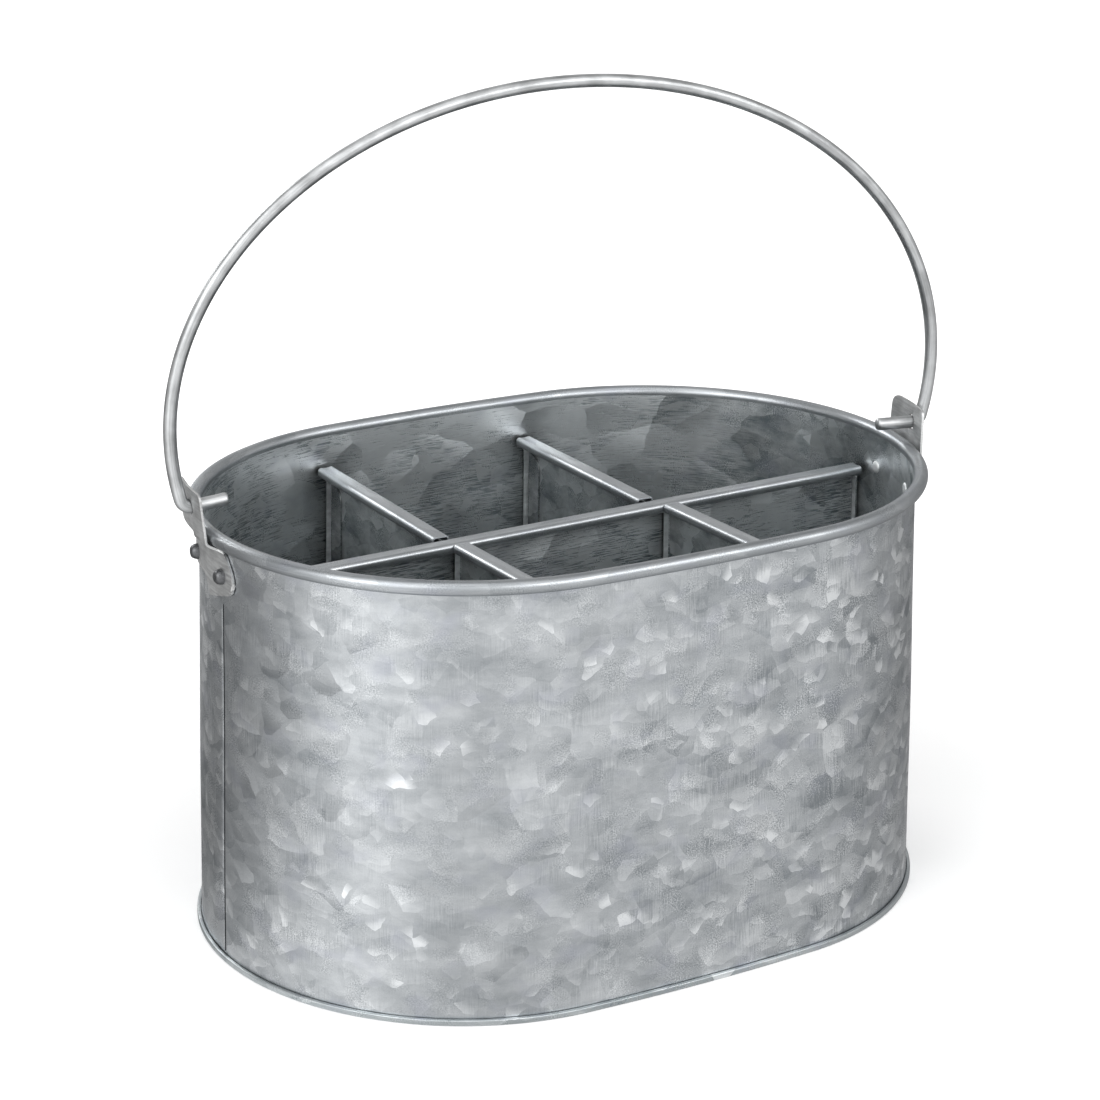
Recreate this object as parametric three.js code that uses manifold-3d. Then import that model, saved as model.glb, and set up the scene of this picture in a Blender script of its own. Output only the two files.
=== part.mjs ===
// Oval table caddy in galvanised sheet steel: six compartments, a rolled rim and a wire bail handle.
// Millimetres, +Z up. The origin is the middle of the base's underside and X runs along the oval.
import * as THREE from 'three';
import { mergeVertices } from 'three/addons/utils/BufferGeometryUtils.js';
import Module from 'manifold-3d';

// Sheet and clearances
const SHEET = 0.6;
const FIT = 0.3;

// Body: an oval of two end arcs and two gently bowed side arcs, measured outside the wall at the rim
const HALF_LENGTH = 130;
const HALF_WIDTH = 92;
const SIDE_RADIUS = 750;
const RIM_TOP = 154.7;
const SPLAY = 3.3; // how far the wall leans out at its foot
const END_STEPS = 24;
const SIDE_STEPS = 8;

// Rolled rim
const ROLL_RADIUS = 2.5;
const ROLL_OUT = 2.3; // from the wall's outer face to the roll's centre
const ROLL_NECK = 4; // height over which the wall runs out into the roll

// Lapped seam, at the left end just behind the long axis
const SEAM_Y = 1.4;
const LAP_WIDTH = 10;
const LAP_FADE = 2.5;
const LAP_STEP = 0.2;

// Base pan and the folded lip that clasps the wall
const FLOOR = 0.8;
const LIP_HEIGHT = 2.1;
const LIP_OUT = 1.5;
const LIP_ROUND = 0.5;

// Dividers
const HEM_TOP = 138;
const HEM_WIDTH = 6.6;
const HEM_HEIGHT = 3.6;
const HEM_ROUND = 1.1;
const HEM_MOUTH = 0.8; // gap left between the hem's curled edge and the plate
const HEM_SETBACK = 1.2; // hem ends short of the plate, clear of the wall and the rivet tails
const FLANGE = 4.2;
const FLANGE_TOP = 133.8;
const FLANGE_CHAMFER = 1.2;
const LONG_Y = -1; // middle of the long divider's hem
const LONG_TURN = THREE.MathUtils.degToRad(1.4); // the long divider stands a little askew
const LONG_END_GAP = 0.9;
const BUTT_GAP = 0.4; // between the long divider and the cross dividers that butt on it
const CROSS_DIVIDERS = [
  { name: 'cross_divider_rear_left', x: -48, side: 1 },
  { name: 'cross_divider_rear_right', x: 36.2, side: 1 },
  { name: 'cross_divider_front_left', x: -43.7, side: -1 },
  { name: 'cross_divider_front_right', x: 42.8, side: -1 },
];

// Ears: riveted plates that pass outside the rim and carry the handle's pins
const EAR_SHEET = 0.8;
const EARS = [
  { name: 'left', end: -1, y: 13.2 },
  { name: 'right', end: 1, y: -21.8 },
];
const EAR_CLEAR = ROLL_OUT + ROLL_RADIUS + FIT; // tongue's inner face from the wall, just above the rim
const EAR_LEAN = 1.4; // further out by the top of the tongue
const JOG_BOTTOM = 148.2;
const JOG_TOP = 150.4;
const JOG_DROP = 0.75; // outer face's bends sit lower, which keeps the sheet's thickness
// An ear's outline, measured from its middle toward the front and up
const EAR_BOTTOM = 129.5;
const FOOT_LOW = 3; // where the foot reaches lowest
const FOOT_STEP = -1; // behind this the foot ends higher up
const FOOT_CORNER = 134.5;
const FOOT_REAR = 135.5;
const FOOT_HALF = 21.2;
const EAR_SHOULDER = 148.2;
const SHOULDER_HALF = 16;
const EAR_NECK = 150.8;
const NECK_FRONT = 11.5;
const NECK_REAR = 1.5;
const TONGUE_FOOT = 154;
const TONGUE_FRONT = 9.5;
const TONGUE_REAR = -14.5;
const EAR_ROUND = 2.5;
const EAR_TOP = 167;

// Rivets through the ears and the wall
const RIVET_SPREAD = 13.6; // each side of the ear's middle
const RIVET_Z = 139.5;
const RIVET_HEAD = 5.4;
const RIVET_DOME = 2.2;
const RIVET_SHANK = 3;
const RIVET_TAIL = 1;
const RIVET_DRILL = 16; // long enough to pass both sheets

// Bail handle: one length of wire, a half ellipse with its ends turned in as pins
const WIRE = 4.5;
const PIVOT_Z = 160.3;
const PIN_TIPS = { left: 123, right: 121 }; // from the middle of the pivot axis
const ELBOW_RADIUS = 3.5;
const ARCH_HALF = 142;
const ARCH_RISE = 108.2;
const ARCH_FOOT = THREE.MathUtils.degToRad(11.6); // how far the ellipse runs on below its widest level
const PIN_HOLE = 6.2;
const WIRE_SIDES = 12;

const wasm = await Module();
wasm.setup();

// Turn a closed geometry into a solid that can be joined and cut
function solidOf(geometry) {
  const bare = geometry.index ? geometry.clone() : geometry;
  bare.deleteAttribute('normal');
  bare.deleteAttribute('uv');
  const merged = mergeVertices(bare);
  return new wasm.Manifold(new wasm.Mesh({
    numProp: 3,
    vertProperties: new Float32Array(merged.attributes.position.array),
    triVerts: new Uint32Array(merged.index.array),
  }));
}

function geometryOf(solid) {
  const mesh = solid.getMesh();
  const geometry = new THREE.BufferGeometry();
  geometry.setAttribute('position', new THREE.BufferAttribute(new Float32Array(mesh.vertProperties), 3));
  geometry.setIndex(new THREE.BufferAttribute(new Uint32Array(mesh.triVerts), 1));
  return geometry;
}

function joined(...geometries) {
  return geometryOf(geometries.map(solidOf).reduce((a, b) => a.add(b)));
}

function cut(geometry, ...tools) {
  return geometryOf(tools.map(solidOf).reduce((a, b) => a.subtract(b), solidOf(geometry)));
}

function common(a, b) {
  return geometryOf(solidOf(a).intersect(solidOf(b)));
}

// The oval's two radii meet tangentially, which fixes the end radius
const END_RADIUS = (2 * SIDE_RADIUS * HALF_WIDTH - HALF_LENGTH ** 2 - HALF_WIDTH ** 2)
  / (2 * (SIDE_RADIUS - HALF_LENGTH));
const END_CENTRE = HALF_LENGTH - END_RADIUS;
const SIDE_CENTRE = SIDE_RADIUS - HALF_WIDTH;
const TURN = Math.atan2(SIDE_CENTRE, END_CENTRE);

function spread(from, to, steps) {
  return Array.from({ length: steps }, (_, i) => from + (to - from) * i / steps);
}

// Stations round the oval: arc centre, radius, heading of the outward normal and the lap's share there
function makeStations() {
  const seamAngle = (y) => Math.PI - Math.asin(y / END_RADIUS);
  const lapEnd = SEAM_Y + LAP_WIDTH;
  const seam = [lapEnd + LAP_FADE, lapEnd, SEAM_Y + LAP_STEP, SEAM_Y].map(seamAngle);
  const lapped = (angle) => angle > seam[0] + 1e-6 && angle < seam[3] - 1e-6;
  const leftEnd = [...spread(Math.PI - TURN, Math.PI + TURN, END_STEPS), ...seam].sort((a, b) => a - b);
  const at = (cx, cy, radius, lap) => (angle) => ({ cx, cy, radius, angle, lap: lap(angle) ? 1 : 0 });
  const never = () => false;
  return [
    ...spread(-TURN, TURN, END_STEPS).map(at(END_CENTRE, 0, END_RADIUS, never)),
    ...spread(TURN, Math.PI - TURN, SIDE_STEPS).map(at(0, -SIDE_CENTRE, SIDE_RADIUS, never)),
    ...leftEnd.map(at(-END_CENTRE, 0, END_RADIUS, lapped)),
    ...spread(Math.PI + TURN, 2 * Math.PI - TURN, SIDE_STEPS).map(at(0, SIDE_CENTRE, SIDE_RADIUS, never)),
  ];
}
const STATIONS = makeStations();

// The oval's counterpart of a lathe: a section of [offset, z, lap] points carried round the stations.
// A closed section makes a ring; an open one is closed at both ends by a flat disc.
function ovalSolid(section, closed) {
  const count = STATIONS.length;
  const positions = [];
  for (const [offset, z, lap = 0] of section) {
    for (const s of STATIONS) {
      const reach = s.radius + offset + lap * s.lap * SHEET;
      positions.push(s.cx + reach * Math.cos(s.angle), s.cy + reach * Math.sin(s.angle), z);
    }
  }
  const triangles = [];
  const rows = closed ? section.length : section.length - 1;
  for (let row = 0; row < rows; row += 1) {
    const low = row * count;
    const high = ((row + 1) % section.length) * count;
    for (let i = 0; i < count; i += 1) {
      const next = (i + 1) % count;
      triangles.push(low + i, low + next, high + next, low + i, high + next, high + i);
    }
  }
  if (!closed) {
    const first = positions.length / 3;
    const last = (section.length - 1) * count;
    positions.push(0, 0, section[0][1], 0, 0, section.at(-1)[1]);
    for (let i = 0; i < count; i += 1) {
      const next = (i + 1) % count;
      triangles.push(first, next, i, first + 1, last + i, last + next);
    }
  }
  const geometry = new THREE.BufferGeometry();
  geometry.setAttribute('position', new THREE.Float32BufferAttribute(positions, 3));
  geometry.setIndex(triangles);
  return geometry;
}

// Lean the body's pieces out toward the foot, together with the wall that they fit
function splayed(point) {
  const share = SPLAY * (1 - point.z / RIM_TOP);
  point.x *= 1 + share / HALF_LENGTH;
  point.y *= 1 + share / HALF_WIDTH;
  return point;
}

function splay(geometry) {
  const place = geometry.attributes.position;
  const point = new THREE.Vector3();
  for (let i = 0; i < place.count; i += 1) {
    splayed(point.fromBufferAttribute(place, i));
    place.setXYZ(i, point.x, point.y, point.z);
  }
  return geometry;
}

// Inner face of the wall, as a distance from the long axis, at a given x
function wallInner(x) {
  const along = Math.abs(x);
  if (along < SIDE_RADIUS * Math.cos(TURN)) {
    return Math.sqrt((SIDE_RADIUS - SHEET) ** 2 - along ** 2) - SIDE_CENTRE;
  }
  return Math.sqrt((END_RADIUS - SHEET) ** 2 - (along - END_CENTRE) ** 2);
}

// Points of an arc in a section, angles in degrees
function arc(centre, radius, from, to, steps) {
  return Array.from({ length: steps + 1 }, (_, i) => {
    const angle = THREE.MathUtils.degToRad(from + (to - from) * i / steps);
    return [centre[0] + radius * Math.cos(angle), centre[1] + radius * Math.sin(angle)];
  });
}

// Place on the wall's outer face at one end, a little off the long axis
function endFrame(end, y) {
  const slope = Math.asin(y / END_RADIUS);
  const normal = new THREE.Vector3(end * Math.cos(slope), Math.sin(slope), 0);
  const tangent = new THREE.Vector3(0, 0, 1).cross(normal);
  const point = normal.clone().multiplyScalar(END_RADIUS).add(new THREE.Vector3(end * END_CENTRE, 0, 0));
  return { normal, tangent, point };
}

// Both rivet places of an ear, as frames on the wall
function rivetFrames(ear) {
  const middle = Math.asin(ear.y / END_RADIUS);
  return [-1, 1].map((side) => {
    const slope = middle + side * RIVET_SPREAD / END_RADIUS;
    return endFrame(ear.end, END_RADIUS * Math.sin(slope));
  });
}

// A cylinder along a direction, centred on a point, used for drilling
function drill(point, direction, diameter, length) {
  const bit = new THREE.CylinderGeometry(diameter / 2, diameter / 2, length, 12);
  const turn = new THREE.Quaternion().setFromUnitVectors(new THREE.Vector3(0, 1, 0), direction);
  bit.applyQuaternion(turn);
  bit.translate(point.x, point.y, point.z);
  return bit;
}

function rivetDrills(ear) {
  return rivetFrames(ear).map(({ point, normal }) => (
    drill(point.clone().setZ(RIVET_Z), normal, RIVET_SHANK + 2 * FIT, RIVET_DRILL)));
}

// Pivot axis, from ear to ear
const PIVOTS = EARS.map((ear) => {
  const { point, normal } = endFrame(ear.end, ear.y);
  return point.clone().addScaledVector(normal, EAR_CLEAR + EAR_LEAN / 2).setZ(PIVOT_Z);
});
const PIVOT_MIDDLE = PIVOTS[0].clone().lerp(PIVOTS[1], 0.5);
const PIVOT_TURN = Math.atan2(PIVOTS[1].y - PIVOTS[0].y, PIVOTS[1].x - PIVOTS[0].x);
const PIVOT_AXIS = new THREE.Vector3(Math.cos(PIVOT_TURN), Math.sin(PIVOT_TURN), 0);

// Wall sheet with its rolled rim and lapped seam
function makeWall() {
  const centre = [ROLL_OUT, RIM_TOP - ROLL_RADIUS];
  const neck = centre[1] - ROLL_NECK;
  const foot = FLOOR + FIT;
  const lapFoot = LIP_HEIGHT + FIT;
  const lapTop = EAR_BOTTOM - 2 * FIT; // the left ear covers the seam from there up
  const section = [
    [-SHEET, neck],
    [-SHEET, foot],
    [0, foot],
    [0, lapFoot],
    [0, lapFoot + FIT, 1],
    [0, lapTop, 1],
    [0, lapTop + FIT],
    [0, neck],
    ...arc(centre, ROLL_RADIUS - SHEET, 180, -120, 8),
    ...arc(centre, ROLL_RADIUS, -120, 180, 10),
  ];
  return splay(cut(ovalSolid(section, true), ...EARS.flatMap(rivetDrills)));
}

// Flat base with the folded lip round its edge
function makeBasePan() {
  const section = [
    [LIP_OUT, 0],
    [LIP_OUT, LIP_HEIGHT - LIP_ROUND],
    [LIP_OUT - LIP_ROUND, LIP_HEIGHT],
    [FIT, LIP_HEIGHT],
    [FIT, FLOOR],
  ];
  return splay(ovalSolid(section, false));
}

// Section of a divider's top: the plate's upper edge and the hem curled over from it toward -x
function hemShape(plateFoot) {
  const half = HEM_WIDTH / 2;
  const top = HEM_TOP - HEM_ROUND;
  const bottom = HEM_TOP - HEM_HEIGHT + HEM_ROUND;
  const inner = HEM_ROUND - SHEET;
  const mouth = half - SHEET - HEM_MOUTH;
  const side = half - HEM_ROUND;
  const ring = [
    [half, plateFoot],
    ...arc([side, top], HEM_ROUND, 0, 90, 3),
    ...arc([-side, top], HEM_ROUND, 90, 180, 3),
    ...arc([-side, bottom], HEM_ROUND, 180, 270, 3),
    [mouth, HEM_TOP - HEM_HEIGHT],
    [mouth, HEM_TOP - HEM_HEIGHT + SHEET],
    ...arc([-side, bottom], inner, 270, 180, 3),
    ...arc([-side, top], inner, 180, 90, 3),
    ...arc([side, top], inner, 90, 0, 3),
    [half - SHEET, plateFoot],
  ];
  return new THREE.Shape(ring.map(([x, z]) => new THREE.Vector2(x, z)));
}

// Outline of an end flange: a strip with its free top corner cut off, from its free edge at x = 0
function flangeShape(width, foot) {
  return new THREE.Shape([
    new THREE.Vector2(0, foot),
    new THREE.Vector2(width, foot),
    new THREE.Vector2(width, FLANGE_TOP),
    new THREE.Vector2(FLANGE_CHAMFER, FLANGE_TOP),
    new THREE.Vector2(0, FLANGE_TOP - FLANGE_CHAMFER),
  ]);
}

// Lay an extrusion drawn in x and z along +y
function alongY(shape, from, to) {
  const geometry = new THREE.ExtrudeGeometry(shape, { depth: to - from, bevelEnabled: false });
  geometry.rotateX(Math.PI / 2);
  geometry.translate(0, to, 0);
  return geometry;
}

function box(x0, x1, y0, y1, z0, z1) {
  const geometry = new THREE.BoxGeometry(x1 - x0, y1 - y0, z1 - z0);
  geometry.translate((x0 + x1) / 2, (y0 + y1) / 2, (z0 + z1) / 2);
  return geometry;
}

// One sheet with a hem along its top and a flange bent to -x at each end; it runs along y from start to end
function hemmedSheet({ start, end, hemStart, hemEnd }) {
  const foot = FLOOR + FIT;
  const plateIn = HEM_WIDTH / 2 - SHEET;
  const plateOut = HEM_WIDTH / 2;
  const flange = flangeShape(FLANGE + SHEET, foot);
  const flanges = [start, end - SHEET].map((y) => {
    const geometry = alongY(flange, y, y + SHEET);
    geometry.translate(plateOut - FLANGE - SHEET, 0, 0);
    return geometry;
  });
  return joined(
    box(plateIn, plateOut, start, end, foot, FLANGE_TOP),
    alongY(hemShape(FLANGE_TOP - SHEET), hemStart, hemEnd),
    ...flanges,
  );
}

function makeLongDivider() {
  const reach = HALF_LENGTH - SHEET - LONG_END_GAP;
  const geometry = hemmedSheet({
    start: -reach,
    end: reach,
    hemStart: -reach + HEM_SETBACK,
    hemEnd: reach - HEM_SETBACK,
  });
  // Drawn along y with its hem to -x; turned so that it runs along x with the hem to the front
  geometry.rotateZ(Math.PI / 2 + LONG_TURN);
  geometry.translate(0, LONG_Y, 0);
  return splay(geometry);
}

function makeCrossDivider({ x, side }) {
  const half = HEM_WIDTH / 2;
  const long = LONG_Y + x * Math.tan(LONG_TURN);
  const wallFace = Math.min(wallInner(x - half), wallInner(x + half)) - FIT;
  // Behind, the sheet butts on the long divider's plate; in front it first passes under that one's hem
  const rearFace = long + half + BUTT_GAP;
  const rear = { start: rearFace, end: wallFace, hemStart: rearFace, hemEnd: wallFace - HEM_SETBACK };
  const front = {
    start: -wallFace,
    end: long + half - SHEET - BUTT_GAP,
    hemStart: -wallFace + HEM_SETBACK,
    hemEnd: long - half - BUTT_GAP,
  };
  const geometry = hemmedSheet(side > 0 ? rear : front);
  geometry.translate(x, 0, 0);
  return splay(geometry);
}

// Outline of an ear: a broad foot, a neck at its front half and a tongue that runs back from the neck.
// The right ear is the left one's mirror image, so that both necks stand toward the front.
function earShape(end) {
  const outline = new THREE.Path()
    .moveTo(FOOT_STEP, FOOT_REAR)
    .lineTo(FOOT_LOW, EAR_BOTTOM)
    .lineTo(FOOT_HALF - EAR_ROUND, FOOT_CORNER)
    .quadraticCurveTo(FOOT_HALF, FOOT_CORNER, FOOT_HALF, FOOT_CORNER + EAR_ROUND)
    .quadraticCurveTo(FOOT_HALF, EAR_SHOULDER - EAR_ROUND, SHOULDER_HALF, EAR_SHOULDER)
    .quadraticCurveTo(NECK_FRONT, EAR_SHOULDER, NECK_FRONT, EAR_NECK)
    .lineTo(TONGUE_FRONT, EAR_TOP - EAR_ROUND)
    .quadraticCurveTo(TONGUE_FRONT, EAR_TOP, TONGUE_FRONT - EAR_ROUND, EAR_TOP)
    .lineTo(TONGUE_REAR + EAR_ROUND, EAR_TOP)
    .quadraticCurveTo(TONGUE_REAR, EAR_TOP, TONGUE_REAR, EAR_TOP - EAR_ROUND)
    .lineTo(TONGUE_REAR, TONGUE_FOOT + EAR_ROUND)
    .quadraticCurveTo(TONGUE_REAR, TONGUE_FOOT, TONGUE_REAR + EAR_ROUND, TONGUE_FOOT)
    .quadraticCurveTo(NECK_REAR, TONGUE_FOOT, NECK_REAR, EAR_NECK)
    .quadraticCurveTo(NECK_REAR, EAR_SHOULDER, -SHOULDER_HALF, EAR_SHOULDER)
    .quadraticCurveTo(-FOOT_HALF, EAR_SHOULDER - EAR_ROUND, -FOOT_HALF, FOOT_REAR + EAR_ROUND)
    .quadraticCurveTo(-FOOT_HALF, FOOT_REAR, EAR_ROUND - FOOT_HALF, FOOT_REAR)
    .getPoints(3);
  return new THREE.Shape(outline.map((point) => new THREE.Vector2(-end * point.x, point.y)));
}

// An ear is a jogged band bent round the oval, trimmed to its outline and drilled
function makeEar(ear, index) {
  const lean = EAR_CLEAR + EAR_LEAN;
  const band = ovalSolid([
    [lean, EAR_TOP + 1],
    [EAR_CLEAR, JOG_TOP],
    [FIT, JOG_BOTTOM],
    [FIT, EAR_BOTTOM - 1],
    [FIT + EAR_SHEET, EAR_BOTTOM - 1],
    [FIT + EAR_SHEET, JOG_BOTTOM - JOG_DROP],
    [EAR_CLEAR + EAR_SHEET, JOG_TOP - JOG_DROP],
    [lean + EAR_SHEET, EAR_TOP + 1],
  ], true);
  const { normal, tangent, point } = endFrame(ear.end, ear.y);
  const depth = 2 * (lean + EAR_SHEET);
  const blank = new THREE.ExtrudeGeometry(earShape(ear.end), { depth: 2 * depth, bevelEnabled: false });
  blank.translate(0, 0, -depth);
  blank.applyMatrix4(new THREE.Matrix4()
    .makeBasis(tangent, new THREE.Vector3(0, 0, 1), normal)
    .setPosition(point));
  const pinHole = drill(PIVOTS[index], PIVOT_AXIS, PIN_HOLE, depth);
  return splay(cut(common(band, blank), pinHole, ...rivetDrills(ear)));
}

// Domed head outside the ear, shank through ear and wall, spread tail inside; the axis is +y
function makeRivet() {
  const face = FIT + EAR_SHEET + FIT / 2;
  const back = -SHEET - FIT;
  const head = RIVET_HEAD / 2;
  const dome = arc([0, 0], 1, 0, 68, 3).map(([out, up]) => [out * head, face + up * RIVET_DOME]);
  const profile = [
    [0, back - RIVET_TAIL],
    [head - RIVET_TAIL / 2, back - RIVET_TAIL],
    [head, back],
    [RIVET_SHANK / 2, back],
    [RIVET_SHANK / 2, face],
    ...dome,
    [0, face + RIVET_DOME],
  ];
  return new THREE.LatheGeometry(profile.map(([r, y]) => new THREE.Vector2(r, y)), 12);
}

// Centre line of the bail in its own plane: x along the pivot axis, z up from it.
// Its runs get a share of the stations each, so that the tight elbows stay round.
class BailCurve extends THREE.Curve {
  constructor() {
    super();
    const reach = Math.hypot(ARCH_HALF * Math.sin(ARCH_FOOT), ARCH_RISE * Math.cos(ARCH_FOOT));
    const heading = Math.acos(ARCH_HALF * Math.sin(ARCH_FOOT) / reach);
    const elbowRise = ELBOW_RADIUS * (1 - Math.cos(heading));
    const elbowStart = ARCH_HALF * Math.cos(ARCH_FOOT) - ELBOW_RADIUS * Math.sin(heading);
    const archCentre = elbowRise + ARCH_RISE * Math.sin(ARCH_FOOT);
    const pin = (tip) => (t) => [THREE.MathUtils.lerp(tip, elbowStart, t), 0];
    const elbow = (t) => [
      elbowStart + ELBOW_RADIUS * Math.sin(heading * t),
      ELBOW_RADIUS * (1 - Math.cos(heading * t)),
    ];
    const arch = (t) => {
      const angle = THREE.MathUtils.lerp(Math.PI + ARCH_FOOT, -ARCH_FOOT, t);
      return [ARCH_HALF * Math.cos(angle), archCentre + ARCH_RISE * Math.sin(angle)];
    };
    const mirrored = (run) => (t) => [-run(t)[0], run(t)[1]];
    const backward = (run) => (t) => run(1 - t);
    this.runs = [
      { share: 2, at: mirrored(pin(PIN_TIPS.left)) },
      { share: 5, at: mirrored(elbow) },
      { share: 46, at: arch },
      { share: 5, at: backward(elbow) },
      { share: 2, at: backward(pin(PIN_TIPS.right)) },
    ];
    this.steps = this.runs.reduce((sum, run) => sum + run.share, 0);
  }

  getUtoTmapping(u) {
    return u;
  }

  getPoint(t, target = new THREE.Vector3()) {
    let along = t * this.steps;
    let run = this.runs[0];
    for (run of this.runs) {
      if (along <= run.share) break;
      along -= run.share;
    }
    const [x, z] = run.at(Math.min(along / run.share, 1));
    return target.set(x, 0, z);
  }
}

function makeBail() {
  const curve = new BailCurve();
  const section = new THREE.Shape().absarc(0, 0, WIRE / 2, 0, 2 * Math.PI);
  return new THREE.ExtrudeGeometry(section, {
    steps: curve.steps,
    extrudePath: curve,
    curveSegments: WIRE_SIDES / 2,
  });
}

// Finishes
const zinc = { metalness: 0.85 };
const MATERIALS = {
  wall: new THREE.MeshStandardMaterial({ ...zinc, color: 0xb3b8ba, roughness: 0.42 }),
  pan: new THREE.MeshStandardMaterial({ ...zinc, color: 0xa9aeb0, roughness: 0.45 }),
  divider: new THREE.MeshStandardMaterial({ ...zinc, color: 0x8b9294, roughness: 0.4 }),
  ear: new THREE.MeshStandardMaterial({ ...zinc, color: 0xa5a7a8, roughness: 0.55 }),
  rivet: new THREE.MeshStandardMaterial({ ...zinc, color: 0x8d8f90, roughness: 0.5 }),
  wire: new THREE.MeshStandardMaterial({ ...zinc, color: 0x9fa1a2, roughness: 0.38 }),
};

const caddy = new THREE.Group();

function place(name, geometry, material, parent = caddy) {
  const mesh = new THREE.Mesh(geometry, material);
  mesh.name = name;
  parent.add(mesh);
  return mesh;
}

place('wall', makeWall(), MATERIALS.wall);
place('base_pan', makeBasePan(), MATERIALS.pan);
place('long_divider', makeLongDivider(), MATERIALS.divider);
for (const divider of CROSS_DIVIDERS) {
  place(divider.name, makeCrossDivider(divider), MATERIALS.divider);
}

EARS.forEach((ear, index) => {
  place(`ear_${ear.name}`, makeEar(ear, index), MATERIALS.ear);
  rivetFrames(ear).forEach(({ point, normal }, number) => {
    const rivet = place(`rivet_${ear.name}_${number + 1}`, makeRivet(), MATERIALS.rivet);
    rivet.position.copy(splayed(point.clone().setZ(RIVET_Z)));
    rivet.quaternion.setFromUnitVectors(new THREE.Vector3(0, 1, 0), normal);
  });
});

const bailGroup = new THREE.Group();
bailGroup.position.copy(PIVOT_MIDDLE);
bailGroup.rotation.z = PIVOT_TURN;
place('bail_handle', makeBail(), MATERIALS.wire, bailGroup);
caddy.add(bailGroup);

export default caddy;
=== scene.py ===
"""Oval galvanised table caddy: its finished sheet pieces, rivets and wire handle, their zinc and the stage.

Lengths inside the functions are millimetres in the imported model's frame: +Z up, X along the oval.
"""

import functools
import math

import bmesh
import bpy
import numpy as np
from mathutils import Matrix, Vector


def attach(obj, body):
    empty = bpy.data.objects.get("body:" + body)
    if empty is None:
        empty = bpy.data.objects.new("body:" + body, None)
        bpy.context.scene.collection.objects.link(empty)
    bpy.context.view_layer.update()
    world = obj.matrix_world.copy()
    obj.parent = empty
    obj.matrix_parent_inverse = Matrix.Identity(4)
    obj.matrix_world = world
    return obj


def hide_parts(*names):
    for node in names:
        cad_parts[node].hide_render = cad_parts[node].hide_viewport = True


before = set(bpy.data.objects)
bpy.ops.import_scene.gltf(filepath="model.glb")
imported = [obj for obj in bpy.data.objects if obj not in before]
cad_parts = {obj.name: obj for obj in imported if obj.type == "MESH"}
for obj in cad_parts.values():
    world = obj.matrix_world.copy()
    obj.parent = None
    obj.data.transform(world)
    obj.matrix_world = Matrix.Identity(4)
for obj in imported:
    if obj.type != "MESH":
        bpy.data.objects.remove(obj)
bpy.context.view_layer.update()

bl_info = {
    "name": "Oval table caddy",
    "version": (1, 0, 0),
    "blender": (4, 5, 0),
    "location": "View3D > Sidebar > Caddy",
    "description": "Builds a galvanised six-compartment table caddy with a swinging wire handle",
    "category": "Object",
}

MM = 0.001
UV_UNIT = 100  # millimetres of surface for one unit of a UV map
BODY = "caddy_body"
BAIL = "bail"
FIT = 0.3  # play between pieces that touch

# Lapped seam at the left end, with a dark groove beside the lap's edge
SEAM_Y = 1.4
SEAM_GAP = 0.9
SEAM_DEPTH = 0.3
SEAM_SIDE = 0.06  # width of the groove's steep side
SEAM_RUNOUT = 0.1  # width of its other side
LAP_WIDTH = 10
LAP_FADE = 2.5
LAP_RISE = 0.2  # how far the lap stands proud
LAP_EDGE = 1.5  # its edge is dressed down over this width
LAP_EDGE_RISE = 0.05
LAP_FOOT = 2.4
LAP_TOP = 129

# Wall: spacing of its columns, and the rows of its outer face, closest where the lap starts and stops
WALL_STEP = 1.5
WALL_ROWS = (
    1.9, LAP_FOOT, LAP_FOOT + FIT, *np.linspace(8, 124, 30), 127, LAP_TOP, LAP_TOP + FIT, 134, 139, 144)
OUTSIDE, RIM, INSIDE, SEAM = range(4)  # its finishes

# Rolled rim
ROLL_NECK = 4  # rows are closer over this height below the roll's middle
ROLL_END = -120  # degrees, where the curled edge stops

# Waves of the rolled sheet: height, number round the oval, phase, and climb that shifts them by a radian
WAVES = ((0.10, 7, 0.9, 41), (0.08, 13, 2.3, -23), (0.05, 23, 0.0, 17))
WAVE_TOP = 150

# Dents that the dividers' ends leave in the wall
DENT_DEPTH = 0.4
DENT_WIDTH = 9
DENT_HEIGHT = 5
DENT_DROP = 3  # below the top of the hems
DENT_TOP = 151
DENT_FADE = 6
# Dents at the oval's ends: which end, place off the long axis, depth
END_DENTS = ((1, 0, 0.4), (-1, 2, 0.3))

# Base pan
FLOOR = 0.8
LIP_OUT = 1.5
LIP_CORNER = 0.45
LIP_BREAK = 0.15
PAN_ROOT = 0.2  # cut across the corner between floor and lip
PAN_COLUMNS = 480

# Dividers
PLATE, HEM, BENT = range(3)  # their finishes
STRIP_ROWS = 9
BACK_PLACE = 200  # how far up the UV map a sheet's back starts
HEM_ROUND = 1.4
HEM_MOUTH = 0.8
HEM_SETBACK = 0.8
HEM_CROWN = 0.25
HEM_SEAT = 0.5  # how far the plate reaches into its hem
HEM_NOTCH = 0.02  # width of the step in the plate's edge at the hem's end
HEM_STEP = 5
FLANGE = 4.2
FLANGE_TOP = 133.8
# From a flange's free edge: share of its width, and how far its corner is cut down there
FLANGE_STEPS = ((1.0, 1.2), (0.8, 0.2), (0.55, 0.0), (0.3, 0.0))
BEND = 1.2
LONG_Y = -1
LONG_TURN = math.radians(1.4)  # the long divider stands a little askew
LONG_END_GAP = 0.9
BUTT_GAP = 0.4
ANGLE_LEG = 7  # leg of the folded angle that lies on a divider's face at the wall
ANGLE_TOP = 131.5
ANGLE_ROUND = 5
ANGLE_SHEET = 0.5
ANGLE_PLAY = 0.04
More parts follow.
